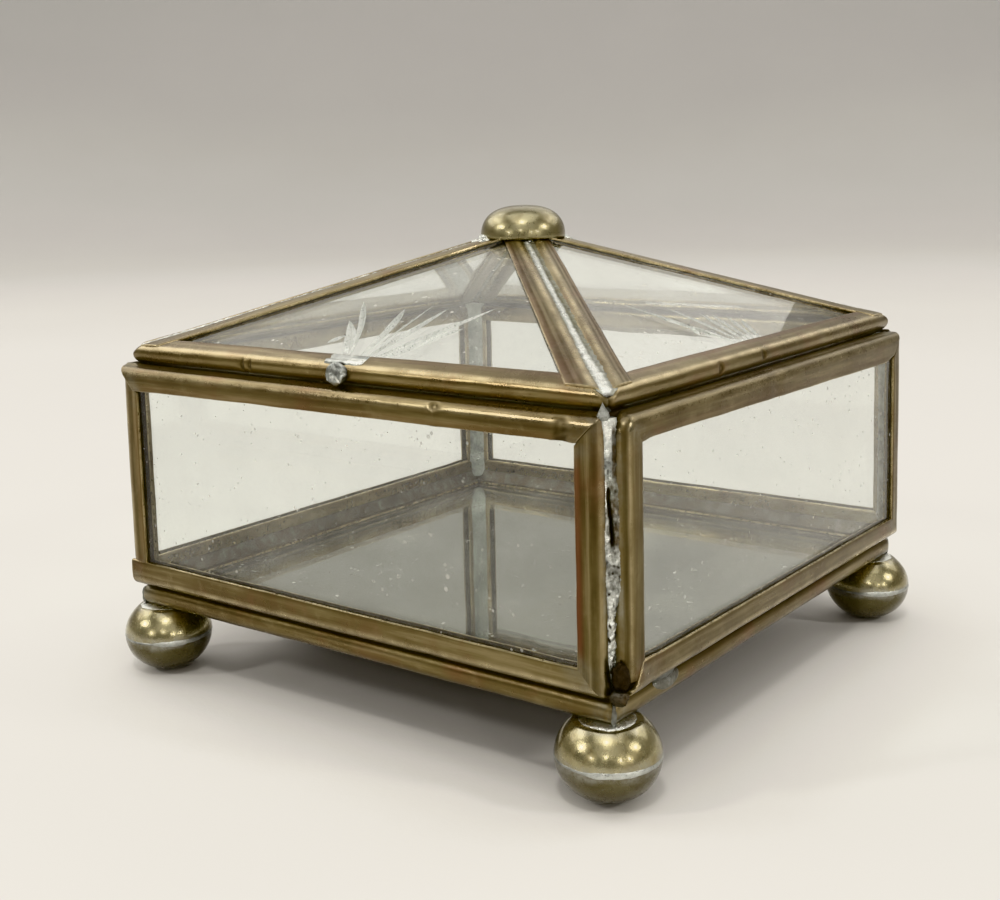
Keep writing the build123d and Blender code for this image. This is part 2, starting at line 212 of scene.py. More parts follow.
def ball_material(name, seed, tone=1.0, dull=0.03):
    """Polished brass, greenish with age, with fine scratches and pits."""
    n = Nodes(name)
    v = n.coords(loc=(seed * 0.017, seed * 0.011, 0.0))
    broad = n.noise(130, 4.0, 0.6, v)
    fine = n.noise(1300, 4.0, 0.6, v)
    base = n.mix(n.ramp(broad, [(0.35, 0.0), (0.66, 1.0)]), (0.235 * tone, 0.205 * tone, 0.115 * tone), (0.335 * tone, 0.305 * tone, 0.185 * tone))
    tarn = n.ramp(n.noise(330, 5.0, 0.65, v, 0.8), [(0.50, 0.0), (0.74, 0.75)])
    base = n.mix(tarn, base, (0.165 * tone, 0.128 * tone, 0.062 * tone))
    tin = n.math("MULTIPLY", n.attr("tin"), n.ramp(n.noise(480, 5.0, 0.7, v), [(0.34, 0.0), (0.60, 0.9)]), clamp=True)
    base = n.mix(tin, base, (0.36, 0.36, 0.33))
    pits = n.ramp(n.noise(2600, 2.0, 0.6, v), [(0.72, 0.0), (0.80, 1.0)])
    base = n.mix(n.math("MULTIPLY", pits, 0.6), base, (0.06, 0.045, 0.025))
    cav = n.attr("cav")
    base = n.mix(n.math("MULTIPLY", cav, 0.9), base, (0.030, 0.022, 0.013))
    scratch = n.noise(1.0, 2.0, 0.5, n.coords(scale=(5200, 650, 2600), rot=(0.4, 0.2, 0.9)))
    rough = n.math("ADD", n.ramp(fine, [(0.30, 0.17 + dull), (0.70, 0.27 + dull)]), n.math("MULTIPLY", tarn, 0.12))
    rough = n.math("ADD", rough, n.math("ADD", n.math("MULTIPLY", tin, 0.10), n.math("MULTIPLY", cav, 0.4)))
    height = n.math("ADD", n.math("MULTIPLY", scratch, 0.35), n.math("MULTIPLY", n.noise(500, 4.0, 0.6, v), 0.8))
    height = n.math("SUBTRACT", height, n.math("MULTIPLY", pits, 0.6))
    nrm = n.bump(height, 0.00008, 0.34)
    p = n.principled(Base_Color=base, Metallic=1.0, Roughness=rough, Normal=nrm, Coat_Weight=0.45, Coat_Roughness=0.07)
    return n.finish(p.outputs[0])


def solder_material(name, seed, tone=1.0, cast=(0.30, 0.37, 0.31), grit=1.0, stained=(0.108, 0.088, 0.058)):
    """Tin-lead solder: grey, gritty, dark pits; the edge attribute paints it near white as a painted highlight, mostly
    on its high spots.
    """
    n = Nodes(name)
    v = n.coords(loc=(seed * 0.023, 0.0, seed * 0.005))
    broad = n.noise(420, 5.0, 0.65, v, 0.4)
    fine = n.noise(2600, 5.0, 0.7, v)
    base = n.mix(n.ramp(broad, [(0.36, 0.0), (0.64, 1.0)]), (0.235 * tone, 0.250 * tone, 0.240 * tone), (0.56 * tone, 0.585 * tone, 0.550 * tone))
    green = n.ramp(n.noise(230, 3.0, 0.5, v), [(0.52, 0.0), (0.75, 0.35)])
    base = n.mix(green, base, cast)
    pits = n.ramp(fine, [(0.30, 1.0), (0.42, 0.0)])
    base = n.mix(n.math("MULTIPLY", pits, 0.8), base, (0.055, 0.052, 0.050))
    stain = n.math("MULTIPLY", n.attr("red"), n.ramp(n.noise(700, 4.0, 0.65, v), [(0.34, 0.35), (0.60, 1.0)]), clamp=True)
    base = n.mix(stain, base, stained)
    # painted highlight: near white where the edge attribute is high
    ridge = n.math("MULTIPLY", n.attr("edge"), n.ramp(n.noise(900, 4.0, 0.65, v), [(0.30, 0.25), (0.52, 1.0)]), clamp=True)
    base = n.mix(ridge, base, (0.86, 0.87, 0.82))
    cav = n.attr("cav")
    base = n.mix(n.math("MULTIPLY", cav, 0.95), base, (0.030, 0.022, 0.015))
    rough = n.math("ADD", n.ramp(broad, [(0.30, 0.42), (0.70, 0.24)]), n.math("MULTIPLY", cav, 0.3))
    rough = n.math("SUBTRACT", rough, n.math("MULTIPLY", ridge, 0.06))
    rough = n.math("ADD", rough, n.math("MULTIPLY", pits, 0.25))
    height = n.math("ADD", n.math("MULTIPLY", n.noise(1500, 5.0, 0.7, v), 1.0), n.math("MULTIPLY", fine, 0.5))
    nrm = n.bump(height, 0.00022, 0.7 * grit)
    p = n.principled(Base_Color=base, Metallic=1.0, Roughness=rough, Normal=nrm)
    return n.finish(p.outputs[0])


def glass_material(name, seed, dust=0.5, tint=(0.955, 0.975, 0.962)):
    """Clear old glass with faint dust, specks and a few smears. The panes pass
    lamp light straight through."""
    n = Nodes(name)
    v = n.coords(loc=(seed * 0.031, seed * 0.017, 0.0))
    speck = n.new("ShaderNodeTexVoronoi", Scale=820.0, Randomness=1.0)
    n.nt.links.new(v, speck.inputs["Vector"])
    size = n.noise(310, 2.0, 0.6, v)
    dot = n.math("LESS_THAN", speck.outputs["Distance"], n.math("MULTIPLY", n.ramp(size, [(0.47, 0.0), (0.78, 0.27)]), 1.0))
    haze = n.ramp(n.noise(75, 5.0, 0.62, v, 0.5), [(0.42, 0.0), (0.80, 0.075 * dust)])
    grain = n.ramp(n.noise(3400, 3.0, 0.8, v), [(0.60, 0.0), (0.75, 0.10 * dust)])
    smear = n.ramp(n.noise(1.0, 3.0, 0.5, n.coords(scale=(45, 90, 70), rot=(0.2, 0.5, 0.7), loc=(seed, 0, 0)), 0.5), [(0.52, 0.0), (0.85, 0.05 * dust)])
    mask = n.math("ADD", n.math("MULTIPLY", dot, 0.55 * dust), n.math("ADD", haze, n.math("ADD", grain, smear)), clamp=True)
    rough = n.math("ADD", 0.0, n.math("MULTIPLY", mask, 0.35))
    nrm = n.bump(n.noise(38, 2.0, 0.4, v), 0.00025, 0.25)
    clear = n.principled(Base_Color=tint, Roughness=rough, IOR=1.51, Transmission_Weight=1.0, Normal=nrm)
    dusty = n.principled(Base_Color=(0.62, 0.60, 0.55), Roughness=0.8, IOR=1.45)
    body = n.new("ShaderNodeMixShader")
    n.set(body.inputs[0], mask)
    n.nt.links.new(clear.outputs[0], body.inputs[1])
    n.nt.links.new(dusty.outputs[0], body.inputs[2])
    through = n.new("ShaderNodeBsdfTransparent", Color=(0.90, 0.92, 0.905))
    path = n.new("ShaderNodeLightPath")
    lamp = n.new("ShaderNodeMixShader")
    n.nt.links.new(path.outputs["Is Shadow Ray"], lamp.inputs[0])
    n.nt.links.new(body.outputs[0], lamp.inputs[1])
    n.nt.links.new(through.outputs[0], lamp.inputs[2])
    return n.finish(lamp.outputs[0])


def cut_material(name):
    """Wheel-cut, unpolished glass: fine parallel grinding marks, milky."""
    n = Nodes(name)
    v = n.coords()
    grit = n.noise(4200, 3.0, 0.7, v)
    streak = n.noise(1.0, 3.0, 0.6, n.coords(scale=(4200, 900, 900), rot=(0, 0, 0.5)))
    nrm = n.bump(n.math("ADD", grit, streak), 0.00005, 0.6)
    rough = n.ramp(grit, [(0.3, 0.22), (0.7, 0.42)])
    col = n.mix(n.ramp(streak, [(0.35, 0.0), (0.65, 1.0)]), (0.68, 0.71, 0.66), (0.90, 0.92, 0.87))
    p = n.principled(Base_Color=col, Roughness=rough, IOR=1.5, Transmission_Weight=0.58, Normal=nrm)
    return n.finish(p.outputs[0])


def silver_material(name):
    """Silvering behind the base pane: slightly uneven, with dark age spots."""
    n = Nodes(name)
    v = n.coords()
    spots = n.ramp(n.noise(210, 6.0, 0.7, v, 0.5), [(0.70, 0.0), (0.80, 0.7)])
    fox = n.ramp(n.noise(900, 4.0, 0.7, v), [(0.72, 0.0), (0.80, 0.8)])
    edge = n.attr("cav")
    dark = n.math("ADD", n.math("MULTIPLY", spots, 0.5), n.math("ADD", n.math("MULTIPLY", fox, 0.5), n.math("MULTIPLY", edge, 0.8)), clamp=True)
    base = n.mix(dark, (0.63, 0.62, 0.585), (0.12, 0.10, 0.08))
    rough = n.math("ADD", 0.03, n.math("MULTIPLY", dark, 0.35))
    nrm = n.bump(n.noise(70, 2.0, 0.5, v), 0.0001, 0.12)
    p = n.principled(Base_Color=base, Metallic=1.0, Roughness=rough, Normal=nrm)
    return n.finish(p.outputs[0])


def paint_material(name):
    n = Nodes(name)
    v = n.coords()
    base = n.mix(n.noise(300, 5.0, 0.6, v), (0.030, 0.028, 0.027), (0.075, 0.068, 0.062))
    base = n.mix(n.ramp(n.noise(1100, 4.0, 0.7, v), [(0.66, 0.0), (0.74, 0.8)]), base, (0.22, 0.20, 0.17))
    nrm = n.bump(n.noise(1600, 4.0, 0.6, v), 0.0001, 0.5)
    p = n.principled(Base_Color=base, Roughness=n.ramp(n.noise(500, 3.0, 0.5, v), [(0.3, 0.45), (0.7, 0.7)]), Normal=nrm)
    return n.finish(p.outputs[0])


def steel_material(name):
    n = Nodes(name)
    v = n.coords()
    base = n.mix(n.noise(700, 5.0, 0.6, v), (0.22, 0.20, 0.17), (0.45, 0.43, 0.39))
    nrm = n.bump(n.noise(1.0, 3.0, 0.6, n.coords(scale=(600, 4000, 4000))), 0.00006, 0.5)
    p = n.principled(Base_Color=base, Metallic=1.0, Roughness=n.ramp(n.noise(900, 3.0, 0.5, v), [(0.3, 0.3), (0.7, 0.5)]), Normal=nrm)
    return n.finish(p.outputs[0])


# each side gets its own copy; the tones differ partly at random, and the right wall's darker tone is painted shade
M_CAME = [came_material(f"aged_brass_{i}", i + 1, t, r) for i, (t, r) in enumerate([(0.95, 0.6), (0.88, 0.35), (1.05, 0.5), (1.0, 0.4)])]
M_LID = [came_material(f"aged_brass_lid_{i}", i + 11, t, r) for i, (t, r) in enumerate([(1.12, 0.45), (1.12, 0.60), (1.05, 0.3), (1.10, 0.4)])]
M_BASE = came_material("aged_brass_base", 21, 1.0, 0.45)
M_HINGE = came_material("aged_brass_hinge", 31, 1.05, 0.3)
# the upper shells use a lighter copy and the lower shells a much darker one: painted light on the top of each ball and
# painted shade under it
M_BALL = [ball_material(f"polished_brass_{i}", i + 2, t) for i, t in enumerate([1.20, 1.12, 1.18, 1.16])]
M_CAP = ball_material("polished_brass_cap", 9, 0.98, 0.08)
M_SOLDER = solder_material("solder", 3)
M_SOLDER_DULL = solder_material("solder_dull", 8, 0.50)
M_SCAR = solder_material("solder_scar", 15, 0.95, (0.33, 0.36, 0.36), 0.6)
# darker copy for the seam under the walls: painted shade in the groove
M_SOLDER_TACK = solder_material("solder_seam", 8, 0.62, (0.27, 0.26, 0.21), 0.6)
M_SOLDER_HIP = solder_material("solder_hip", 5, 1.0, (0.30, 0.34, 0.26), 1.0, (0.250, 0.235, 0.150))
M_SOLDER_RING = solder_material("solder_ring", 12, 1.05, (0.42, 0.39, 0.33), 0.5)
# painted shade: darker copies of the same brass for the lower shells
M_BALL_PAINTED_SHADE = [ball_material(f"polished_brass_low_{i}", i + 2, t) for i, t in enumerate([0.50, 0.48, 0.51, 0.49])]
M_GLASS = glass_material("clear_glass", 1, 0.8, (0.925, 0.945, 0.930))
M_GLASS_LID = glass_material("clear_glass_lid", 4, 1.1, (0.86, 0.885, 0.868))
M_GLASS_BASE = glass_material("clear_glass_base", 7, 0.9)
M_CUT = cut_material("wheel_cut_glass")
M_SILVER = silver_material("silvering")
M_PAINT = paint_material("mirror_back_paint")
M_STEEL = steel_material("pin_wire")


# ------------------------------------------------------------------- meshes
def add_mesh(name, verts_mm, faces, mats, face_mat=None, attrs=None, sharp=38.0, body="casket", replaces=(), recalc=True):
    me = bpy.data.meshes.new(name)
    me.from_pydata([(float(x) * MM, float(y) * MM, float(z) * MM) for x, y, z in verts_mm], [], faces)
    for m in mats:
        me.materials.append(m)
    if face_mat is not None:
        me.polygons.foreach_set("material_index", list(face_mat))
    for key in ("edge", "cav", "tin", "ps", "pa", "red"):
        a = me.attributes.new(key, "FLOAT", "POINT")
        values = (attrs or {}).get(key)
        if values is not None:
            a.data.foreach_set("value", np.asarray(values, np.float32))
    me.validate()
    if recalc:
        bm = bmesh.new()
        bm.from_mesh(me)
        bmesh.ops.recalc_face_normals(bm, faces=bm.faces)
        bm.to_mesh(me)
        bm.free()
    me.polygons.foreach_set("use_smooth", [True] * len(me.polygons))
    me.set_sharp_from_angle(angle=math.radians(sharp))
    me.update()
    ob = bpy.data.objects.new(name, me)
    bpy.context.scene.collection.objects.link(ob)
    if replaces:
        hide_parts(*replaces)
    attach(ob, body)
    return ob


def turn(p, k):
    """Quarter turns about the vertical axis."""
    x, y, z = p
    for _ in range(k % 4):
        x, y = -y, x
    return (x, y, z)


def n1(x, y=0.0, z=0.0):
    return noise.noise(Vector((x, y, z)))


def smooth(a, b, x):
    t = min(1.0, max(0.0, (x - a) / (b - a))) if a != b else float(x >= b)
    return t * t * (3 - 2 * t)


W, R, D, T = 2.8, 1.4, 3.1, 0.4
SLOT_R = 1.0


def came_loop():
    """Closed section of the channel: (depth, across, kind, arc). kind is o for
    outside, t for lip edge, i for inside."""
    pts = []
    lr = 0.17
    pts.append((D - 0.03, SLOT_R + 0.02, "t", 0))
    pts.append((D, SLOT_R + 0.10, "t", 0))
    pts.append((D, R - lr, "t", 0))
    pts.append((D - lr * 0.3, R - lr * 0.3, "t", 0))
    pts.append((D - lr, R, "o", 0))
    for d in (2.72, 2.5, 2.3, 2.1, 1.9, 1.7, 1.55):
        pts.append((d, R + 0.03 * math.sin(math.pi * (D - d) / (D - 1.4)), "o", 0))
    e = 2 / 2.22
    for i in range(19):
        a = math.radians(90 + 180 * i / 18)
        c, s = math.cos(a), math.sin(a)
        d = R + R * math.copysign(abs(c) ** e, c)
        t = R * math.copysign(abs(s) ** e, s)
        pts.append((d, t, "o", i / 18))
    for d in (1.7, 2.1, 2.5):
        pts.append((d, -R - 0.03 * math.sin(math.pi * (D - d) / (D - 1.4)), "o", 1))
    pts.append((D - lr, -R, "o", 1))
    pts.append((D - lr * 0.3, -(R - lr * 0.3), "t", 1))
    pts.append((D, -(R - lr), "t", 1))
    pts.append((D, -(SLOT_R + 0.10), "t", 1))
    pts.append((D - 0.03, -(SLOT_R + 0.02), "t", 1))
    pts.append((2.2, -(SLOT_R + 0.01), "i", 1))
    for i in range(7):
        a = math.radians(270 - 180 * i / 6)
        pts.append((R + (SLOT_R + 0.01) * math.cos(a), (SLOT_R + 0.01) * math.sin(a), "i", 0.5))
    pts.append((2.2, SLOT_R + 0.01, "i", 0))
    return pts


LOOP = came_loop()


def loop_normals():
    n = []
    for i, (d, t, _, _) in enumerate(LOOP):
        d0, t0 = LOOP[i - 1][:2]
        d1, t1 = LOOP[(i + 1) % len(LOOP)][:2]
        dx, ty = d1 - d0, t1 - t0
        length = math.hypot(dx, ty)
        n.append((ty / length, -dx / length))
    flip = -1 if n[14][0] * (LOOP[14][0] - 2.0) + n[14][1] * LOOP[14][1] < 0 else 1
    return [(a * flip, b * flip) for a, b in n]


LOOP_N = loop_normals()
LOOP_S = [0.0]
for (d_a, t_a, _, _), (d_b, t_b, _, _) in zip(LOOP[:-1], LOOP[1:]):
    LOOP_S.append(LOOP_S[-1] + math.hypot(d_b - d_a, t_b - t_a))


def end(a=0.0, b=1.0, proud=0.0, rnd=0.08, fold=False, bright=0.0, dirt_and_shade=0.3):
    """How one end of a bar is made: cut at s = a + b * d, standing proud of its
    neighbour, with rounding rnd; fold: runs smoothly into its neighbour. bright
    paints a highlight on the end; the last value darkens it, partly as painted
    shade where the end runs under its neighbour."""
    return dict(a=a, b=b, proud=proud, rnd=rnd, fold=fold, bright=bright, dirt_and_shade=dirt_and_shade)


# ridge places a painted highlight round the back (arc, strength), crown scales the painted highlights and inner paints
# the inner side of the round back lighter; the shade arc and dark band lists paint shade
def bar(length, end0, end1, seed, dents=(), step=0.9, wave=0.05, tin_side=(0, 0), seam=0.0, depth=(D, D), painted_shade_arcs=(), red=0.0, crown=1.0, painted_dark_bands=(), crest=(), ridge=(0.12, 0.75), inner=0.0):
    """One side of a came in (s along, d in from the back, t across)."""
    count = max(12, int(length / step))
    base = [0.0, 0.04, 0.10, 0.18, 0.30, 0.45, 0.7, 1.0, 1.4, 1.9]
    mid = [1.9 + (length - 3.8) * i / count for i in range(1, count)]
    stations = base + mid + [length - x for x in reversed(base)]
    for s, ang, rs, ra, deep in dents:          # more stations around each dent
        stations += [s + rs * f for f in (-1.6, -1.2, -0.9, -0.6, -0.3, 0, 0.3, 0.6, 0.9, 1.2, 1.6)]
    stations = sorted(set(round(s, 4) for s in stations if 0 <= s <= length))
    verts, edge, cav, tin, ps, pa, rd = [], [], [], [], [], [], []
    m = len(LOOP)
    for s in stations:
        w = s / length
        dloc = depth[0] + (depth[1] - depth[0]) * w + 0.05 * n1(s * 0.16, seed * 3.7, 2.0)
        kd = (dloc - R) / (D - R)
        for j, (d, t, kind, arc) in enumerate(LOOP):
            nd, nt = LOOP_N[j]
            e0, e1 = s, length - s
            fade = 1.0
            if end0["fold"]:
                fade *= smooth(0.0, 2.5, e0)
            if end1["fold"]:
                fade *= smooth(0.0, 2.5, e1)
            if d > R:
                d = R + (d - R) * (1 + (kd - 1) * fade)
            s0 = end0["a"] + end0["b"] * d
            s1 = length - (end1["a"] + end1["b"] * d)
            ss = s0 + w * (s1 - s0)
            off = 0.0
            g = 1.0
            within = kind == "i" or (kind == "t" and abs(t) < SLOT_R + 0.05)
            for e_, en in ((e0, end0), (e1, end1)):
                if en["fold"]:
                    continue
                rr = en["rnd"]
                if rr > 0.3:
                    g = min(g, 0.04 + 0.96 * smooth(0.0, rr * 1.6, e_))
            if not within:
                off += wave * n1(ss * 0.11, arc * 0.9 + seed * 7.3, seed)
                off += 0.22 * wave * n1(ss * 0.55, arc * 2.0 + seed, seed * 3.1)
                off += 0.04 * wave * n1(ss * 2.2, arc * 5.0 + seed, seed * 1.7)
                off *= fade
                for e_, en in ((e0, end0), (e1, end1)):
                    if en["fold"]:
                        continue
                    rr = en["rnd"]
                    if e_ < rr:
                        off -= rr * (1 - math.sqrt(max(0.0, 1 - (1 - e_ / rr) ** 2))) * (1.0 if rr < 0.3 else 0.85)
                    off += en["proud"] * (1 - smooth(1.2, 5.0, e_))
                for ds, da, rs, ra, deep in dents:
                    ang = arc if kind == "o" else (0 if t > 0 else 1)
                    q = ((ss - ds) / rs) ** 2 + ((ang - da) / ra) ** 2
                    off -= deep * math.exp(-q) - 0.30 * deep * math.exp(-((math.sqrt(q) - 1.7) / 0.5) ** 2)
                for c0, c1, rise_ in crest:
                    if kind == "o" and 0 < arc < 1:
                        off += rise_ * fade * math.exp(-((arc - 0.5 * (c0 + c1)) / (0.5 * (c1 - c0))) ** 4)
            dd, tt = d + nd * off, t + nt * off
            if within and g < 1.0:
                dd, tt = 1.6 + (dd - 1.6) * g, tt * g
            verts.append((ss, dd, tt))
            # edge: rubbed metal and painted highlight on the bends, the lip edges, the inner side and bright cut ends;
            # cav: darkening at the glass and painted shade
            bend = 0.0
            if kind == "o" and 0 < arc < 1:
                bend = ridge[1] * math.exp(-((arc - ridge[0]) / 0.07) ** 2) + 0.75 * math.exp(-((arc - 0.88) / 0.07) ** 2)
            if kind == "t":
                bend = 0.85
            e_w = bend * crown
            # painted light: the inner side of the round back made lighter brass
            if kind == "o" and inner:
                e_w = max(e_w, inner * smooth(0.70, 0.85, arc))
            c_w = 1.0 if kind == "i" else 0.0
            # cut ends: bright paints a highlight (partly rubbed metal); the darkening near the cut is partly painted
            # shade where an end runs under its neighbour
            for e_, en in ((e0, end0), (e1, end1)):
                if not en["fold"]:
                    e_w = max(e_w, en["bright"] * (1 - smooth(0.08, 0.30, e_)))
                    c_w = max(c_w, en["dirt_and_shade"] * (1 - smooth(0.10, 0.7, e_)) * (0.6 + 0.6 * n1(ss * 1.3, d, seed)) * (1 - en["bright"]))
            edge.append(min(1.0, e_w) if kind != "i" else 0.0)
            if kind == "t" and abs(t) < SLOT_R + 0.05:
                c_w = 1.0
            if kind == "o" and d > 2.75:
                c_w = max(c_w, 0.18)
            # painted shade over a span of the round back: under the lid, under the eave, in the base groove
            for g0, g1, val in painted_shade_arcs:
                if kind == "o":
                    c_w = max(c_w, val * smooth(g0 - 0.06, g0 + 0.03, arc) * (1 - smooth(g1 - 0.03, g1 + 0.06, arc)))
            if kind != "i":
                q_ = LOOP_S[j] if t > 0 or arc < 0.5 else LOOP_S[-1]
                # painted dark band across the section: shade in the creases and dark reflections on the round back
                for q0, q1, val in painted_dark_bands:
                    c_w = max(c_w, val * smooth(q0 - 0.12, q0 + 0.08, q_) * (1 - smooth(q1 - 0.08, q1 + 0.12, q_)) * (0.75 + 0.35 * n1(ss * 0.3, q_, seed)))
                # painted shade: a dark ring round each deep dent
                for ds, da, rs, ra, deep in dents:
                    if deep > 0.07:
                        ang = arc if kind == "o" else (0 if t > 0 else 1)
                        c_w = max(c_w, 0.75 * math.exp(-((math.sqrt(((ss - ds) / rs) ** 2 + ((ang - da) / ra) ** 2) - 0.7) / 0.5) ** 2))
            cav.append(min(1.0, max(0.0, c_w)))
            tv = 0.0
            if kind == "o":
                ta, tb = tin_side
                if 0 < arc < 0.62:
                    tv = max(tv, ta * smooth(0.1, 0.45, arc) * (0.45 + 0.8 * n1(ss * 0.23, seed, 4.0)))
                if 0.38 < arc < 1:
                    tv = max(tv, tb * smooth(0.9, 0.55, arc) * (0.45 + 0.8 * n1(ss * 0.23, seed, 9.0)))
                if seam:
                    tv = max(tv, seam * (1 - smooth(0.5, 4.0 + 2 * n1(seed, ss * 0.1), min(e0, e1))))
            tin.append(min(1.0, max(0.0, tv)))
            ps.append(ss + seed * 41.0)
            pa.append(LOOP_S[j] + seed * 5.0)
            rd.append(red * smooth(0.5, 4.0, min(e0, e1)) * (1.0 - smooth(0.9, 1.5, LOOP_S[j])) if t > 0 else 0.0)
    faces = []
    k = len(stations)
    for i in range(k - 1):
        for j in range(m):
            a, b = i * m + j, i * m + (j + 1) % m
            faces.append((a, b, b + m, a + m))
    faces.append(tuple(range(m)))
    faces.append(tuple((k - 1) * m + j for j in reversed(range(m))))
    return verts, faces, dict(edge=edge, cav=cav, tin=tin, ps=ps, pa=pa, red=rd)


def round_corner(u, v, corner, inward, rho):
    """The square corner of an outline drawn in to a round one."""
    px = rho - (u - corner[0]) * inward[0]
    py = rho - (v - corner[1]) * inward[1]
    if px <= 0 or py <= 0:
        return u, v
    f = max(px, py) / math.hypot(px, py)
    return corner[0] + (rho - px * f) * inward[0], corner[1] + (rho - py * f) * inward[1]


def came_piece(name, outline, place, ends, mat, seeds, body="casket", wave=0.05, rounds=None, bars=None):
    """All sides of one came in one piece. outline is anticlockwise in (u, v);
    place maps (u, v, t) to the model. bars holds each side's own details."""
    V, F = [], []
    A = {key: [] for key in ("edge", "cav", "tin", "ps", "pa", "red")}
    count = len(outline)
    for i in range(count):
        p, q = outline[i], outline[(i + 1) % count]
        dx, dy = q[0] - p[0], q[1] - p[1]
        length = math.hypot(dx, dy)
        e = (dx / length, dy / length)
        m = (-e[1], e[0])
        v, f, attrs = bar(length, ends[i][0], ends[i][1], seeds[i], wave=wave, **((bars or {}).get(i, {})))
        start = len(V)
        for s, d, t in v:
            x, y = p[0] + e[0] * s + m[0] * d, p[1] + e[1] * s + m[1] * d
            for ci, rho in (rounds or {}).items():
                c = outline[ci]
                x, y = round_corner(x, y, c, (-1 if c[0] > 0 else 1, 1 if c[1] < 27 else -1), rho)
            V.append(place(x, y, t))
        F += [tuple(start + x for x in face) for face in f]
        for key in A:
            A[key] += attrs[key]
    return add_mesh(name, V, F, [mat], attrs=A, body=body, replaces=(name.replace("_piece", ""),), sharp=42)


def offset_outline(points, dist):
    out = []
    n = []
    for i, p in enumerate(points):
        q = points[(i + 1) % len(points)]
        dx, dy = q[0] - p[0], q[1] - p[1]
        length = math.hypot(dx, dy)
        n.append((-dy / length, dx / length))
    for i, p in enumerate(points):
        a, b = n[i - 1], n[i]
        s = dist / (1 + a[0] * b[0] + a[1] * b[1])
        out.append((p[0] + s * (a[0] + b[0]), p[1] + s * (a[1] + b[1])))
    return out


def patch(surf, s0, s1, a0, a1, ns, na, height, deep=0.3):
    """A smear of solder on a surface: surf(s, a) gives a point and its normal,
    height(s, a) how far the smear stands up. Where that is under nothing it
    lies inside the metal. Closed: top, underside and rim."""
    V, F, C = [], [], []
    for layer in (0, 1):
        for i in range(ns + 1):
            for j in range(na + 1):
                s_, a_ = s0 + (s1 - s0) * i / ns, a0 + (a1 - a0) * j / na
                p, n = surf(s_, a_)
                rim = i in (0, ns) or j in (0, na)
                h = height(s_, a_) if layer == 0 else -deep
                if rim and layer == 0:
                    h = min(h, -0.10)
                V.append(tuple(p[c] + n[c] * h for c in range(3)))
                C.append(0.0)
    w = na + 1
    size = (ns + 1) * w
    for i in range(ns):
        for j in range(na):
            a = i * w + j
            F.append((a, a + 1, a + w + 1, a + w))
            F.append((size + a, size + a + w, size + a + w + 1, size + a + 1))
    for i in range(ns):
        for a, b in ((i * w, (i + 1) * w), (i * w + na, (i + 1) * w + na)):
            F.append((a, b, b + size, a + size))
    for j in range(na):
        for a, b in ((j, j + 1), (ns * w + j, ns * w + j + 1)):
            F.append((a, b, b + size, a + size))
    return V, F, C


# ------------------------------------------------------------------ layout
WALL_MID, WALL_H, Z0, Z1 = 38.6, 37.85, 12.5, 42.5
BASE_Z, BASE_H = 10.6, 38.5
EAVE_Q, EAVE_Z, APEX_Z = 36.85, 44.13, 58.34
SLOPE = math.atan((APEX_Z - EAVE_Z) / EAVE_Q)
CA, SA = math.cos(SLOPE), math.sin(SLOPE)
ALPHA = math.atan(1 / CA)
HIP_GAP = 0.146
SIDES = {"front": 0, "right": 1, "back": 2, "left": 3}


def wall_place(k):
    return lambda u, v, t: turn((u, -WALL_MID - t, v), k)


def lid_place(k):
    return lambda u, v, t: turn((u, -EAVE_Q + v * CA - t * SA, EAVE_Z + v * SA + t * CA), k)


def base_place(u, v, t):
    return (u, v, BASE_Z + t)


# ------------------------------------------------------------------- walls
wall_outline = [(-WALL_H, Z0), (WALL_H, Z0), (WALL_H, Z1), (-WALL_H, Z1)]
FOLD = end(fold=True)
CUT = end(0.02, 1.0, 0.0, 0.06, dirt_and_shade=0.35)
UNDER = end(0.2, 1.0, -0.05, 0.05, dirt_and_shade=0.5)
OVER = end(-0.35, 1.0, 0.08, 0.12, bright=0.9)
SQUARE = end(0.05, 0.0, 0.09, 0.10, bright=0.8)
# sides of each outline: 0 bottom, 1 right post, 2 top, 3 left post
wall_ends = {
    "front": [(SQUARE, FOLD), (FOLD, end(0.03, 1.0, -0.02, 0.05, dirt_and_shade=0.5)), (end(-0.02, 1.0, 0.05, 0.10, bright=0.55), end(-0.60, 1.0, 0.09, 0.14, bright=1.0)), (UNDER, end(0.4, 0.9, -0.05, 0.05, dirt_and_shade=0.6))],
    "right": [(end(0.60, 0.57, 0.10, 0.14, bright=1.0), FOLD), (FOLD, UNDER), (FOLD, FOLD), (FOLD, end(1.7, 0.0, -0.02, 0.08, dirt_and_shade=0.9))],
    "back": [(OVER, CUT), (CUT, UNDER), (OVER, CUT), (CUT, UNDER)],
    "left": [(OVER, CUT), (CUT, UNDER), (OVER, CUT), (CUT, UNDER)],
}
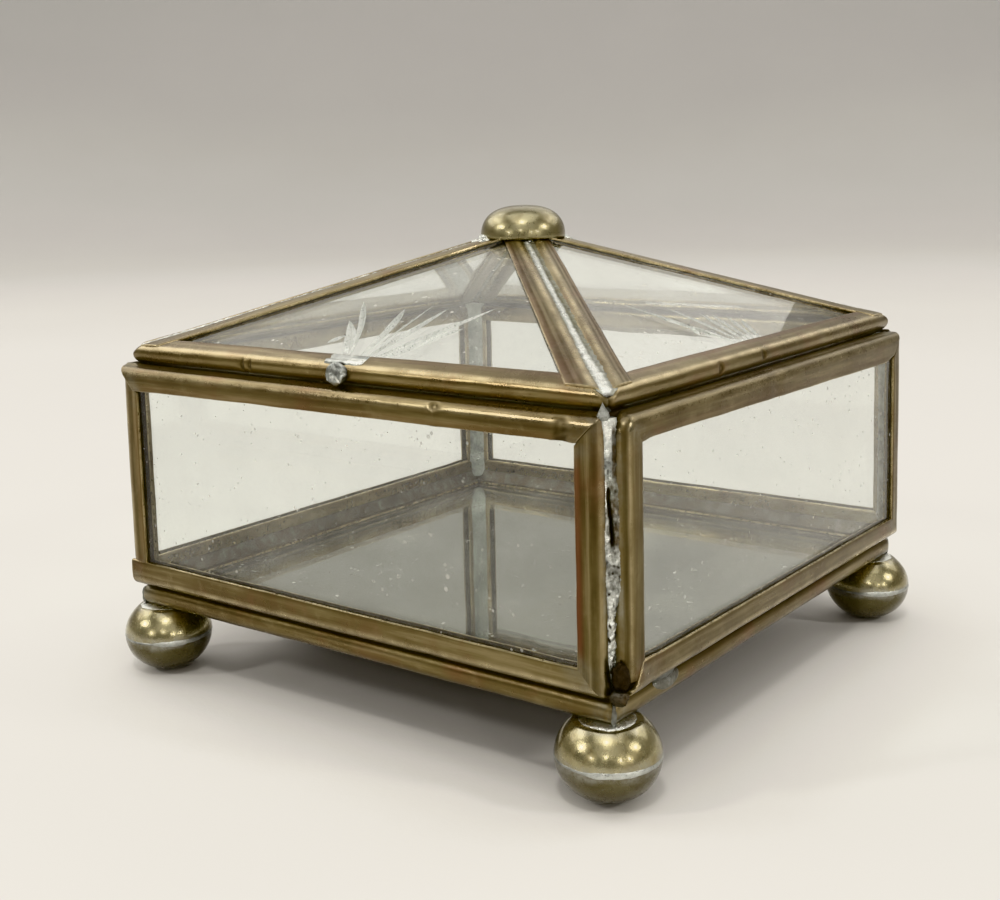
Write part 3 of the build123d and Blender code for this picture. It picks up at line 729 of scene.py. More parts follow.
# ridge, crown and inner set each bar's painted highlight and painted light; the shade arc and dark band lists set its
# painted shade
POST = dict(tin_side=(0.20, 0.5), seam=0.2, painted_dark_bands=((1.3, 1.9, 0.35), (2.75, 3.3, 0.45)), inner=0.5)
LOW = dict(tin_side=(0.0, 0.0), seam=0.2, painted_dark_bands=((3.6, 4.8, 0.6),), crown=1.5, inner=0.55)
TOP = dict(tin_side=(0.0, 0.0), seam=0.2, painted_shade_arcs=((0.61, 0.80, 1.0),), crest=((0.52, 0.72, 0.34),), inner=0.4)
wall_bars = {
    "front": {0: dict(LOW, dents=[(52.0, 0.3, 1.8, 0.2, 0.05)], depth=(3.5, 3.05)),
              1: dict(POST, painted_dark_bands=((0.95, 1.9, 0.38), (2.1, 3.0, 0.55)), ridge=(0.34, 0.45), dents=[(17.0, 0.3, 1.5, 0.25, 0.05)], depth=(3.05, 3.1), red=0.9),
              2: dict(TOP, dents=[(WALL_H - 16.3, 0.17, 0.55, 0.10, 0.16), (WALL_H - 33.2, 0.05, 0.75, 0.20, 0.10), (WALL_H + 8.0, 0.30, 1.4, 0.2, 0.04)], depth=(2.75, 3.05), red=0.2, painted_dark_bands=((1.55, 1.95, 0.25),)),
              3: dict(POST, depth=(3.1, 3.1), red=0.2)},
    "right": {0: dict(LOW, depth=(3.35, 3.15)), 1: dict(POST), 2: dict(TOP, dents=[(41.0, 0.25, 1.6, 0.2, 0.06)], depth=(3.8, 2.85), red=0.2),
              3: dict(POST, painted_dark_bands=((0.3, 1.3, 0.35), (3.0, 3.45, 0.70)), ridge=(0.17, 0.70), dents=[(12.0, 0.25, 1.2, 0.2, 0.05)], depth=(3.1, 3.1))},
    "back": {0: dict(LOW), 1: dict(POST), 2: dict(TOP), 3: dict(POST)},
    "left": {0: dict(LOW), 1: dict(POST), 2: dict(TOP), 3: dict(POST)},
}
wall_rounds = {"front": {1: 0.6, 2: 0.5, 0: 0.3}, "right": {3: 1.9, 0: 0.4, 1: 0.6}, "back": {}, "left": {}}
for side, k in SIDES.items():
    came_piece(f"{side}_came_piece", wall_outline, wall_place(k), wall_ends[side], M_CAME[k],
               [k * 4 + 1.3, k * 4 + 2.1, k * 4 + 3.7, k * 4 + 4.9], wave=0.05, rounds=wall_rounds[side], bars=wall_bars[side])

# ---------------------------------------------------------------- wall panes
GT = 0.97     # half thickness of the panes, a hair inside the slot


def box_pane(name, outline, place, half0, half1, mat, body, replaces, extra=None):
    inner = offset_outline(outline, 1.47)
    n = len(inner)
    verts = [place(u, v, half0) for u, v in inner] + [place(u, v, half1) for u, v in inner]
    faces = [tuple(range(n)), tuple(range(2 * n - 1, n - 1, -1))]
    faces += [(i, (i + 1) % n, n + (i + 1) % n, n + i) for i in range(n)]
    return add_mesh(name, verts, faces, [mat], body=body, replaces=replaces, sharp=20)


for side, k in SIDES.items():
    box_pane(f"{side}_glass_pane", wall_outline, wall_place(k), -GT, GT, M_GLASS, "casket", (f"{side}_glass",))

# -------------------------------------------------------------------- base
base_outline = [(-BASE_H, -BASE_H), (BASE_H, -BASE_H), (BASE_H, BASE_H), (-BASE_H, BASE_H)]
BCUT = end(0.15, 1.0, 0.0, 0.10, dirt_and_shade=0.6)
# the top and upper outside of the base came are painted dark: shade where the walls stand in its groove
came_piece("base_came_piece", base_outline, base_place, [(BCUT, BCUT)] * 4, M_BASE, [41.1, 42.7, 43.3, 44.9], wave=0.06, rounds={0: 1.2, 1: 1.2, 2: 1.2, 3: 1.2},
           bars={0: dict(dents=[(30.0, 0.6, 2.0, 0.3, 0.06)], seam=0.35, painted_shade_arcs=((-0.2, 0.16, 0.62), (0.12, 0.36, 0.30))),
                 1: dict(dents=[(20.0, 0.55, 2.0, 0.3, 0.05)], seam=0.45, painted_shade_arcs=((-0.2, 0.16, 0.62), (0.12, 0.36, 0.30))),
                 2: dict(seam=0.4, painted_shade_arcs=((-0.2, 0.16, 0.62), (0.12, 0.36, 0.30))), 3: dict(seam=0.4, painted_shade_arcs=((-0.2, 0.16, 0.62), (0.12, 0.36, 0.30)))})
base_in = offset_outline(base_outline, 1.47)


def mirror_slab(name, z0, z1, mats, face_mat, replaces, cav_edge):
    grid = 24
    verts, faces, fm, cav = [], [], [], []
    half = base_in[1][0]
    for z in (z0, z1):
        for i in range(grid + 1):
            for j in range(grid + 1):
                u, v = -half + 2 * half * i / grid, -half + 2 * half * j / grid
                verts.append((u, v, z))
                e = half - max(abs(u), abs(v))
                cav.append(cav_edge * (1 - smooth(1.5, 5.0, e)))
    n = (grid + 1) ** 2
    for i in range(grid):
        for j in range(grid):
            a = i * (grid + 1) + j
            faces.append((a, a + 1, a + grid + 2, a + grid + 1)); fm.append(face_mat[0])
            faces.append((n + a, n + a + grid + 1, n + a + grid + 2, n + a + 1)); fm.append(face_mat[1])
    g = grid + 1
    for i in range(grid):
        for a, b in ((i * g, (i + 1) * g), (i * g + grid, (i + 1) * g + grid), (i, i + 1), (grid * g + i, grid * g + i + 1)):
            faces.append((a, b, b + n, a + n)); fm.append(face_mat[0])
    return add_mesh(name, verts, faces, mats, fm, attrs={"cav": cav}, replaces=replaces, sharp=20)


mirror_slab("base_mirror_pane", 9.84, 11.57, [M_GLASS_BASE], (0, 0), ("base_mirror",), 0.0)
mirror_slab("mirror_silvering_layer", 9.63, 9.81, [M_PAINT, M_SILVER], (0, 1), ("mirror_silvering",), 0.5)


# --------------------------------------------------------------- lid cames
def hip_u(v):
    return EAVE_Q - v * CA - HIP_GAP / math.sin(ALPHA)


lid_outline = [(-hip_u(-R), -R), (hip_u(-R), -R), (0.0, (EAVE_Q - HIP_GAP / math.sin(ALPHA)) / CA)]
phi = ALPHA
cot_half = 1 / math.tan(phi / 2)
apex_half = 1 / math.tan((math.pi - 2 * phi) / 2)
EAVE_END = end(0.25, 1.30, -0.12, 0.75, dirt_and_shade=0.85)                          # runs on under the folded hip end
HIP_FOOT = end(1.00 / math.sin(phi), 1 / math.tan(phi), 0.10, 0.10, bright=0.8)   # hip came folded over the eave came
HIP_TOP = end(0.0, apex_half, 0.0, 0.08)
lid_ends = [(EAVE_END, EAVE_END), (HIP_FOOT, HIP_TOP), (HIP_TOP, HIP_FOOT)]
u0 = -lid_outline[0][0]
# the eave's underside is painted dark as shade over the body's top came; the near hips carry painted dark lines and
# painted highlights
EAVE = dict(painted_shade_arcs=((0.74, 0.95, 0.95),), seam=0.15, crest=((0.76, 0.98, 0.30),))
EAVE_BACK = dict(painted_shade_arcs=((0.74, 0.95, 0.95),), seam=0.15)
HIP = dict(tin_side=(0.15, 0.25), seam=0.1, painted_dark_bands=((0.90, 1.15, 0.62), (1.62, 1.85, 0.42)), crown=1.25, ridge=(0.10, 0.95), red=0.35)
HIP_FAR = dict(tin_side=(0.35, 0.25), seam=0.1, crown=1.35, ridge=(0.14, 0.95))
lid_bars = {
    "front": {0: dict(EAVE, dents=[(u0 - 15.4 - 0.60, 0.40, 0.30, 0.14, 0.15), (u0 - 15.4 + 0.75, 0.38, 0.28, 0.12, 0.14), (u0 - 27.0, 0.3, 1.2, 0.2, 0.04), (u0 + 20.0, 0.35, 1.5, 0.2, 0.05)], red=0.2, depth=(3.1, 3.45)),
              1: dict(HIP, depth=(3.42, 2.65)), 2: dict(HIP_FAR, depth=(2.7, 3.1))},
    "right": {0: dict(EAVE, dents=[(u0 - 14.2, 0.38, 0.5, 0.14, 0.14), (u0 - 3.2, 0.34, 0.45, 0.12, 0.11), (u0 + 15.0, 0.35, 1.4, 0.2, 0.04)], red=0.45),
              1: dict(HIP_FAR, depth=(3.1, 2.7)), 2: dict(HIP, depth=(2.8, 2.85))},
    "back": {0: dict(EAVE_BACK), 1: dict(HIP_FAR), 2: dict(HIP_FAR)},
    "left": {0: dict(EAVE), 1: dict(HIP_FAR), 2: dict(HIP_FAR)},
}
for side, k in SIDES.items():
    came_piece(f"lid_{side}_came_piece", lid_outline, lid_place(k), lid_ends, M_LID[k],
               [50 + k * 3 + 0.7, 51 + k * 3 + 0.1, 52 + k * 3 + 0.4], body="lid", wave=0.045, bars=lid_bars[side])


# --------------------------------------------------------------- lid panes
def blade(tip, base, width, at, bend=0.0, n=11):
    """Outline and floor line of one wheel cut: two long arcs that meet in a
    point at each end. at is where it is widest, from the base."""
    tip, base = Vector(tip), Vector(base)
    ax = tip - base
    length = ax.length
    ax.normalize()
    nn = Vector((-ax[1], ax[0]))
    left, right, floor = [], [], []
    for i in range(1, n):
        f = i / n
        g = f / at if f < at else (1 - f) / (1 - at)
        w = 0.5 * width * math.sin(math.pi / 2 * g) ** 0.85
        c = base + ax * (f * length) + nn * (bend * math.sin(math.pi * f))
        left.append(c + nn * w)
        right.append(c - nn * w)
        floor.append((c, w))
    return base, tip, left, right, floor


def cut_pane(name, outline, place, cuts, mats, body, replaces):
    """A pane whose outer face holds real V-shaped wheel cuts."""
    inner = offset_outline(outline, 1.47)
    pts, edges, depth = [], [], []

    def point(p, z=0.0):
        pts.append(Vector((p[0], p[1])))
        depth.append(z)
        return len(pts) - 1

    ring = [point(p) for p in inner]
    edges += [(ring[i], ring[(i + 1) % len(ring)]) for i in range(len(ring))]
    polys = []
    for tip, base, width, at, bend in cuts:
        b, t, left, right, floor = blade(tip, base, width, at, bend)
        ib, it = point(b), point(t)
        il = [point(p) for p in left]
        ir = [point(p) for p in right]
        ic = [point(c, -0.36 * min(1.0, w / 0.45) - 0.03) for c, w in floor]
        for chain in ([ib] + il + [it], [ib] + ir + [it], [ib] + ic + [it]):
            edges += list(zip(chain[:-1], chain[1:]))
        polys.append([b] + left + [t] + list(reversed(right)))
    v2, _, f2, ov, _, _ = delaunay_2d_cdt(pts, edges, [], 1, 1e-6)
    z2 = []
    for orig in ov:
        z2.append(min((depth[o] for o in orig), default=-0.10))

    def inside(p, poly):
        hit = False
        j = len(poly) - 1
        for i in range(len(poly)):
            yi, yj = poly[i][1], poly[j][1]
            if (yi > p[1]) != (yj > p[1]) and p[0] < (poly[j][0] - poly[i][0]) * (p[1] - yi) / (yj - yi) + poly[i][0]:
                hit = not hit
            j = i
        return hit

    verts = [place(p[0], p[1], GT + z) for p, z in zip(v2, z2)]
    faces, fm = [], []
    for f in f2:
        c = sum((Vector(v2[i]) for i in f), Vector((0, 0))) / len(f)
        faces.append(tuple(f))
        fm.append(1 if any(inside(c, poly) for poly in polys) else 0)
    n0 = len(verts)
    n = len(inner)
    verts += [place(u, v, -GT) for u, v in inner]
    faces.append(tuple(n0 + i for i in reversed(range(n))))
    fm.append(0)
    ring_new = []
    for p in inner:
        ring_new.append(min(range(len(v2)), key=lambda i: (Vector(v2[i]) - Vector(p)).length))
    for i in range(n):
        faces.append((ring_new[i], n0 + i, n0 + (i + 1) % n, ring_new[(i + 1) % n]))
        fm.append(0)
    return add_mesh(name, verts, faces, mats, fm, body=body, replaces=replaces, sharp=12)


front_cuts = [
    ((-7.66, 10.75), (-1.15, 1.75), 1.50, 0.44, -0.50),
    ((-9.46, 15.83), (-0.35, 2.05), 0.92, 0.70, -0.52),
    ((-1.36, 14.58), (1.15, 1.75), 1.22, 0.68, -0.50),
    ((2.37, 16.01), (1.72, 5.10), 0.42, 0.47, 0.0),
    ((5.17, 15.39), (2.15, 1.80), 1.32, 0.49, -0.10),
    ((12.12, 16.07), (3.10, 1.85), 1.25, 0.53, -0.15),
    ((10.95, 10.58), (4.30, 1.80), 1.65, 0.33, 0.20),
    ((-5.05, 7.05), (-6.45, 4.75), 1.15, 0.50, 0.0),
]
right_cuts = [
    ((-10.64, 15.35), (-4.60, 1.80), 1.05, 0.58, -0.40),
    ((-9.10, 10.60), (-3.95, 1.80), 1.30, 0.50, -0.45),
    ((-4.15, 12.56), (-3.10, 1.75), 1.05, 0.57, -0.30),
    ((-0.29, 10.10), (-2.10, 1.80), 1.15, 0.58, 0.0),
    ((1.50, 9.10), (-1.15, 1.75), 1.05, 0.58, -0.05),
    ((3.75, 8.10), (0.00, 1.80), 0.95, 0.57, -0.05),
    ((5.10, 6.75), (1.35, 1.80), 1.00, 0.52, 0.05),
    ((-6.80, 7.40), (-8.10, 5.50), 0.95, 0.50, 0.0),
]
cut_pane("lid_front_glass_pane", lid_outline, lid_place(0), front_cuts, [M_GLASS_LID, M_CUT], "lid", ("lid_front_glass",))
cut_pane("lid_right_glass_pane", lid_outline, lid_place(1), right_cuts, [M_GLASS_LID, M_CUT], "lid", ("lid_right_glass",))
for side in ("back", "left"):
    box_pane(f"lid_{side}_glass_pane", lid_outline, lid_place(SIDES[side]), -GT, GT, M_GLASS_LID, "lid", (f"lid_{side}_glass",))


# ------------------------------------------------------------ solder seams
def seam_strip(name, section_at, length, place, body, replaces, mat, step=0.22, extra=()):
    """Closed strip of solder: section_at(s) gives the section's points (p, n),
    their darkening (soiling and painted shade) and, where given, their painted
    highlight and stain, the same count all along."""
    V, F, C, E_, S_ = [], [], [], [], []
    k = int(length / step) + 1
    m = None
    for i in range(k + 1):
        s = length * i / k
        sec = section_at(s)
        m = len(sec)
        for p, n, c, *more in sec:
            V.append(place(s, p, n))
            C.append(c)
            E_.append(more[0] if more else 0.0)
            S_.append(more[1] if more else 0.0)
    for i in range(k):
        for j in range(m):
            a, b = i * m + j, i * m + (j + 1) % m
            F.append((a, b, b + m, a + m))
    F.append(tuple(range(m)))
    F.append(tuple(k * m + j for j in reversed(range(m))))
    for v, f, c, bright, stain in extra:
        start = len(V)
        V += v
        C += c
        E_ += [bright] * len(v)
        S_ += [stain] * len(v)
        F += [tuple(start + x for x in face) for face in f]
    return add_mesh(name, V, F, [mat], attrs={"cav": C, "edge": E_, "red": S_}, body=body, replaces=replaces, sharp=50)


def blob(centre, size, seed, rough=0.18, subdiv=3, squash_z=1.0):
    bm = bmesh.new()
    bmesh.ops.create_icosphere(bm, subdivisions=subdiv, radius=1.0)
    v, f = [], []
    for p in bm.verts:
        d = Vector(p.co).normalized()
        r = 1 + rough * n1(d.x * 1.6 + seed, d.y * 1.6, d.z * 1.6) + 0.5 * rough * n1(d.x * 4 + seed, d.y * 4, d.z * 4)
        v.append((centre[0] + d.x * r * size[0], centre[1] + d.y * r * size[1], centre[2] + d.z * r * size[2]))
    for face in bm.faces:
        f.append(tuple(x.index for x in face.verts))
    bm.free()
    return v, f, [0.0] * len(v)


def corner_section(seed, z_of, cracks, near=False):
    """Section of a corner's solder: outer bead in the V, throat, inner fillet.
    p is across, n outward. The near corner's bead is wider to the left, split
    down its middle and stained on the right of the split. Its lighter parts are
    painted highlight, brightest near the top; the crack is painted dark as
    shade, besides random soiling."""
    cx = 1.5203          # centres of the two round backs at (+-cx, 0)

    def back(p):
        return math.sqrt(max(0.0, 1.42 ** 2 - (cx - min(abs(p), cx)) ** 2))

    def at(s):
        z = z_of(s)
        crack = 0.0
        for c0, c1, deep in cracks:
            crack = max(crack, deep * smooth(c0, c0 + 1.5, z) * (1 - smooth(c1 - 1.0, c1, z)))
        out = []
        grit = 1 - smooth(36.0, 38.5, z) * 0.70
        if near:
            grit += 0.7 * (1 - smooth(26.0, 29.0, z))
        jag = 0.07 * n1(z * 1.1, seed, 7.0) + 0.05 * n1(z * 3.1, seed, 8.0)
        if near:
            left = 0.80 - 0.20 * (1 - smooth(22.5, 25.0, z)) - 0.32 * (1 - smooth(14.0, 17.0, z)) + 0.20 * smooth(40.6, 42.0, z) + jag
            right = 0.56 + 0.30 * smooth(22.5, 25.0, z) * (1 - smooth(33.5, 36.5, z)) - 0.22 * (1 - smooth(21.0, 23.5, z)) - 0.22 * (1 - smooth(13.8, 16.5, z)) + 0.08 * smooth(41.0, 42.1, z) + 0.10 * n1(z * 1.3, seed, 17.0) + 0.09 * n1(z * 3.3, seed, 18.0)
            right = max(0.12, right)
            bulge = 0.16 * smooth(36.0, 38.0, z) + 0.10 * smooth(24.5, 22.5, z) - 0.10 * smooth(24.5, 26.0, z) * (1 - smooth(34.0, 36.0, z)) - 0.25 * (1 - smooth(12.9, 14.6, z))
            split = 0.06 - 0.42 * smooth(29.0, 35.0, z) + 0.08 * n1(z * 0.7, seed, 3.0) + 0.05 * n1(z * 2.1, seed, 4.0)
        else:
            left = right = 0.42 + jag
            bulge = 0.08 - 0.25 * (1 - smooth(13.6, 17.0, z)) + 0.14 * smooth(38.5, 42.0, z)
            split = 0.10 + 0.2 * n1(z * 0.25, seed, 3.0)
        n_l, n_r = back(left) - 0.04, back(right) - 0.04
        steps = 19
        for i in range(steps):
            f = -1 + 2 * i / (steps - 1)
            w = 0.5 + 0.5 * f
            p = -left + (left + right) * w
            g = n_l + (n_r - n_l) * w + bulge * (1 - f * f)
            rough = (1 - f ** 4) * grit
            g += rough * (0.10 * n1(z * 2.0, p * 1.8, seed) + 0.10 * n1(z * 4.5, p * 4.0, seed * 2) + 0.07 * n1(z * 10.0, p * 8.0, seed * 3))
            dip = crack * math.exp(-((p - split) / (0.125 + 0.05 * n1(z * 1.7, seed, 6.0))) ** 2)
            g -= 0.75 * dip
            dirt_and_shade = min(1.0, 1.7 * dip + max(0.0, 1.5 * grit * (n1(z * 1.9, p * 3.0, seed * 5) - 0.28)))
            dirt_and_shade = max(dirt_and_shade, 1 - smooth(13.0, 14.6, z))
            bright = smooth(37.5, 39.5, z) * (1 - smooth(0.6, 1.0, abs(f))) + 0.75 * smooth(0.05, 0.35, n1(z * 1.2, p * 2.4, seed * 7))
            bright = max(bright, 0.9 * smooth(15.5, 18.0, z) * (1 - smooth(22.5, 25.0, z)) * (1 - smooth(0.3, 0.9, abs(f + 0.1))))
            stain = 0.30 * (1 - smooth(36.0, 38.0, z))
            if near:
                mid_z = smooth(28.0, 29.5, z) * (1 - smooth(35.6, 36.6, z))
                low_z = smooth(23.0, 24.5, z) * (1 - smooth(28.0, 29.5, z))
                strip = 1 - smooth(-0.62, -0.45, p)
                bright = max(bright, (0.9 * smooth(33.0, 33.8, z) + 0.45 * smooth(-0.1, 0.2, n1(z * 2.0, seed, 31.0))) * mid_z * strip)
                bright *= 1 - 0.7 * mid_z * smooth(-0.3, 0.1, p)
                bright *= 1 - 0.45 * low_z
                stain = max(stain, 0.97 * mid_z * smooth(-0.50, -0.20, p), 0.68 * mid_z, 0.45 * low_z)
                high = smooth(35.0, 36.5, z) * (1 - smooth(41.0, 41.8, z)) * smooth(-0.02, 0.14, p)
                blue = smooth(35.6, 36.6, z) * (1 - smooth(38.0, 40.0, z))
                stain *= 1 - blue
                stain = max(stain, 0.97 * high)
                bright *= (1 - high) * (1 - 0.60 * smooth(35.0, 36.5, z) * (1 - smooth(39.5, 41.2, z)) * smooth(-0.45, -0.25, p))
                bright *= 1 - 0.7 * smooth(34.5, 36.0, z) * (1 - smooth(40.0, 41.5, z)) * smooth(-0.1, 0.25, n1(z * 1.4, p * 3.0, 41.0))
                dirt_and_shade = max(dirt_and_shade, 0.25 * blue * smooth(-0.4, 0.1, p), 0.30 * high, 0.60 * blue * smooth(0.12, 0.36, n1(z * 3.0, p * 4.0, seed * 9)))
            out.append((p, min(g, 1.34), dirt_and_shade, min(1.0, bright) * (1 - min(1.0, dirt_and_shade * 1.5)), min(1.0, stain)))
        # down the right side of the throat, along the inner fillet and back up
        out += [(0.11, 0.05, 1.0)]
        dip = 0.08 * n1(z * 0.8, seed, 5.0)
        out += [(0.75, -1.16, 0.4), (1.70, -1.78, 0.15)]
        out += [(1.15, -1.72 - dip, 0.05), (0.55, -1.70 - dip, 0.0), (0.0, -1.69 - dip, 0.0), (-0.55, -1.70 - dip, 0.0), (-1.15, -1.72 - dip, 0.05)]
        out += [(-1.70, -1.78, 0.15), (-0.75, -1.16, 0.4), (-0.11, 0.05, 1.0)]
        return out
    return at


H2 = math.sqrt(0.5)
for name, k, seed, cracks in (("front_right", 0, 3.1, [(28.2, 35.4, 1.0)]), ("back_right", 1, 8.3, [(20, 26, 0.8)]), ("back_left", 2, 5.7, []), ("front_left", 3, 9.9, [(30, 35, 0.7)])):
    z_lo, z_hi = 12.6, 42.42
    centre = (37.525, -37.525)

    def place(s, p, n, k=k):
        x = centre[0] + H2 * p + H2 * n
        y = centre[1] + H2 * p - H2 * n
        return turn((x, y, z_lo + s), k)
    extra = []
    if k == 0:
        # a peak of solder drawn up from the corner's top
        pv, pf, pc = [], [], []
        bm = bmesh.new()
        bmesh.ops.create_icosphere(bm, subdivisions=4, radius=1.0)
        for vert in bm.verts:
            d = Vector(vert.co).normalized()
            up_ = max(0.0, d.z)
            r = (1 - up_) ** 1.15 + 0.13 * up_ * (1 - up_) if d.z > 0 else math.sqrt(max(0.0, 1 - d.z ** 2))
            az = math.atan2(d.y, d.x)
            r *= 0.70 * (1 + 0.14 * n1(math.cos(az) * 2, math.sin(az) * 2, d.z * 2))
            pv.append((37.62 + r * math.cos(az) + 0.05 * up_, -38.62 + r * math.sin(az) - 0.18 * up_, 42.62 + (1.42 * up_ if d.z > 0 else 0.75 * d.z)))
            pc.append(0.12)
        pf = [tuple(q.index for q in face.verts) for face in bm.faces]
        bm.free()
        extra.append((pv, pf, pc, 0.12, 0.30))
        # a lump of flux closing the joint beside it, coloured near black as painted shade of the gap under the lid
        gv, gf, gc = blob((37.55, -35.9, 42.33), (0.48, 2.75, 0.45), 33.0, 0.12)
        extra.append((gv, gf, [0.93] * len(gv), 0.0, 1.0))
    seam_strip(f"corner_solder_{name}_bead", corner_section(seed, lambda s: z_lo + s, cracks, k == 0), z_hi - z_lo, place, "casket", (f"corner_solder_{name}",), M_SOLDER, step=0.13, extra=extra)

# hips
rise = APEX_Z - EAVE_Z
hip_len = math.sqrt(2 * EAVE_Q ** 2 + rise ** 2)
hip_dir = Vector((-EAVE_Q, EAVE_Q, rise)) / hip_len
across = Vector((H2, H2, 0))
hip_n = hip_dir.cross(across)
if hip_n.z < 0:
    hip_n = -hip_n
n_in = Vector((-math.sin(ALPHA), -math.cos(ALPHA) * CA, -math.cos(ALPHA) * SA))
c_off = n_in * (R + HIP_GAP)
HCX, HCN = abs(c_off.dot(across)), c_off.dot(hip_n)


def hip_section(seed, length):
    def at(s):
        out = []
        level = 0.80 + 0.07 * n1(s * 0.3, seed) + 0.05 * n1(s * 1.4, seed, 2.0)
        level += 0.10 * (1 - smooth(2.0, 14.0, s))          # fuller towards the corner
        level -= 0.45 * (1 - smooth(-0.4, 0.9, s))          # and tapering off over it
        edge_n = min(0.98, level + 0.06 + 0.06 * n1(s * 1.1, seed, 7.0))
        q = max(0.0, 1.41 ** 2 - (edge_n - HCN) ** 2)
        lo = max(0.16, HCX - math.sqrt(q) + 0.05)
        for i in range(17):
            f = -1 + 2 * i / 16
            g = level + (edge_n - level) * f * f
            rough = (1 - f ** 4)
            g += rough * (0.09 * n1(s * 2.0, f * 1.2, seed) + 0.07 * n1(s * 4.5, f * 2.6, seed * 2) + 0.035 * n1(s * 10.0, f * 5.0, seed * 3))
            mid = -0.25 + 0.14 * n1(s * 0.12, seed * 2) + 0.07 * n1(s * 0.8, seed) + 0.38 * (1 - smooth(3.0, 12.0, s))
            near = smooth(26.0, 6.0, s)
            # painted highlight: the bead's ridge is lit near white, with a painted dark line of shade beside it
            ridge = math.exp(-((f - mid) / (0.26 + 0.14 * near)) ** 2)
            g += (0.13 + 0.06 * near) * ridge
            dirt_and_shade = min(1.0, max(0.0, 1.2 * (n1(s * 1.5, f * 1.6, seed * 5) - 0.26))) * (1 - 0.9 * ridge)
            dirt_and_shade = max(dirt_and_shade, 0.40 * math.exp(-((f - mid - 0.55) / 0.16) ** 2))
            dirt_and_shade = max(dirt_and_shade, 0.7 - smooth(0.0, 0.6, s))
            shift = -0.30 * (1 - smooth(2.0, 14.0, s)) * (1 - f * f)
            stain = max(0.90 * smooth(mid + 0.20, mid + 0.5, f), 0.85 * smooth(mid - 0.30, mid - 0.55, f)) * (1 - 0.4 * near)
            out.append((f * lo + shift, min(1.16, g), dirt_and_shade, ridge * (0.85 + 0.4 * near), stain))
        out += [(0.14, HCN, 0.8), (0.45, -1.15, 0.3), (0.20, -1.25, 0.2), (-0.20, -1.25, 0.2), (-0.45, -1.15, 0.3), (-0.14, HCN, 0.8)]
        return out
    return at


for name, k, seed in (("front_right", 0, 13.1), ("back_right", 1, 17.3), ("back_left", 2, 19.7), ("front_left", 3, 23.9)):
    s0, s1 = {0: -0.85, 1: 0.3, 2: 0.5, 3: -0.25}[k], hip_len - 1.3
    start = Vector((EAVE_Q, -EAVE_Q, EAVE_Z)) + hip_dir * s0

    def place(s, p, n, k=k, start=start):
        q = start + hip_dir * s + across * p + hip_n * n
        return turn(tuple(q), k)
    seam_strip(f"hip_solder_{name}_bead", hip_section(seed, s1 - s0), s1 - s0, place, "lid", (f"hip_solder_{name}",), M_SOLDER_HIP, step=0.15)


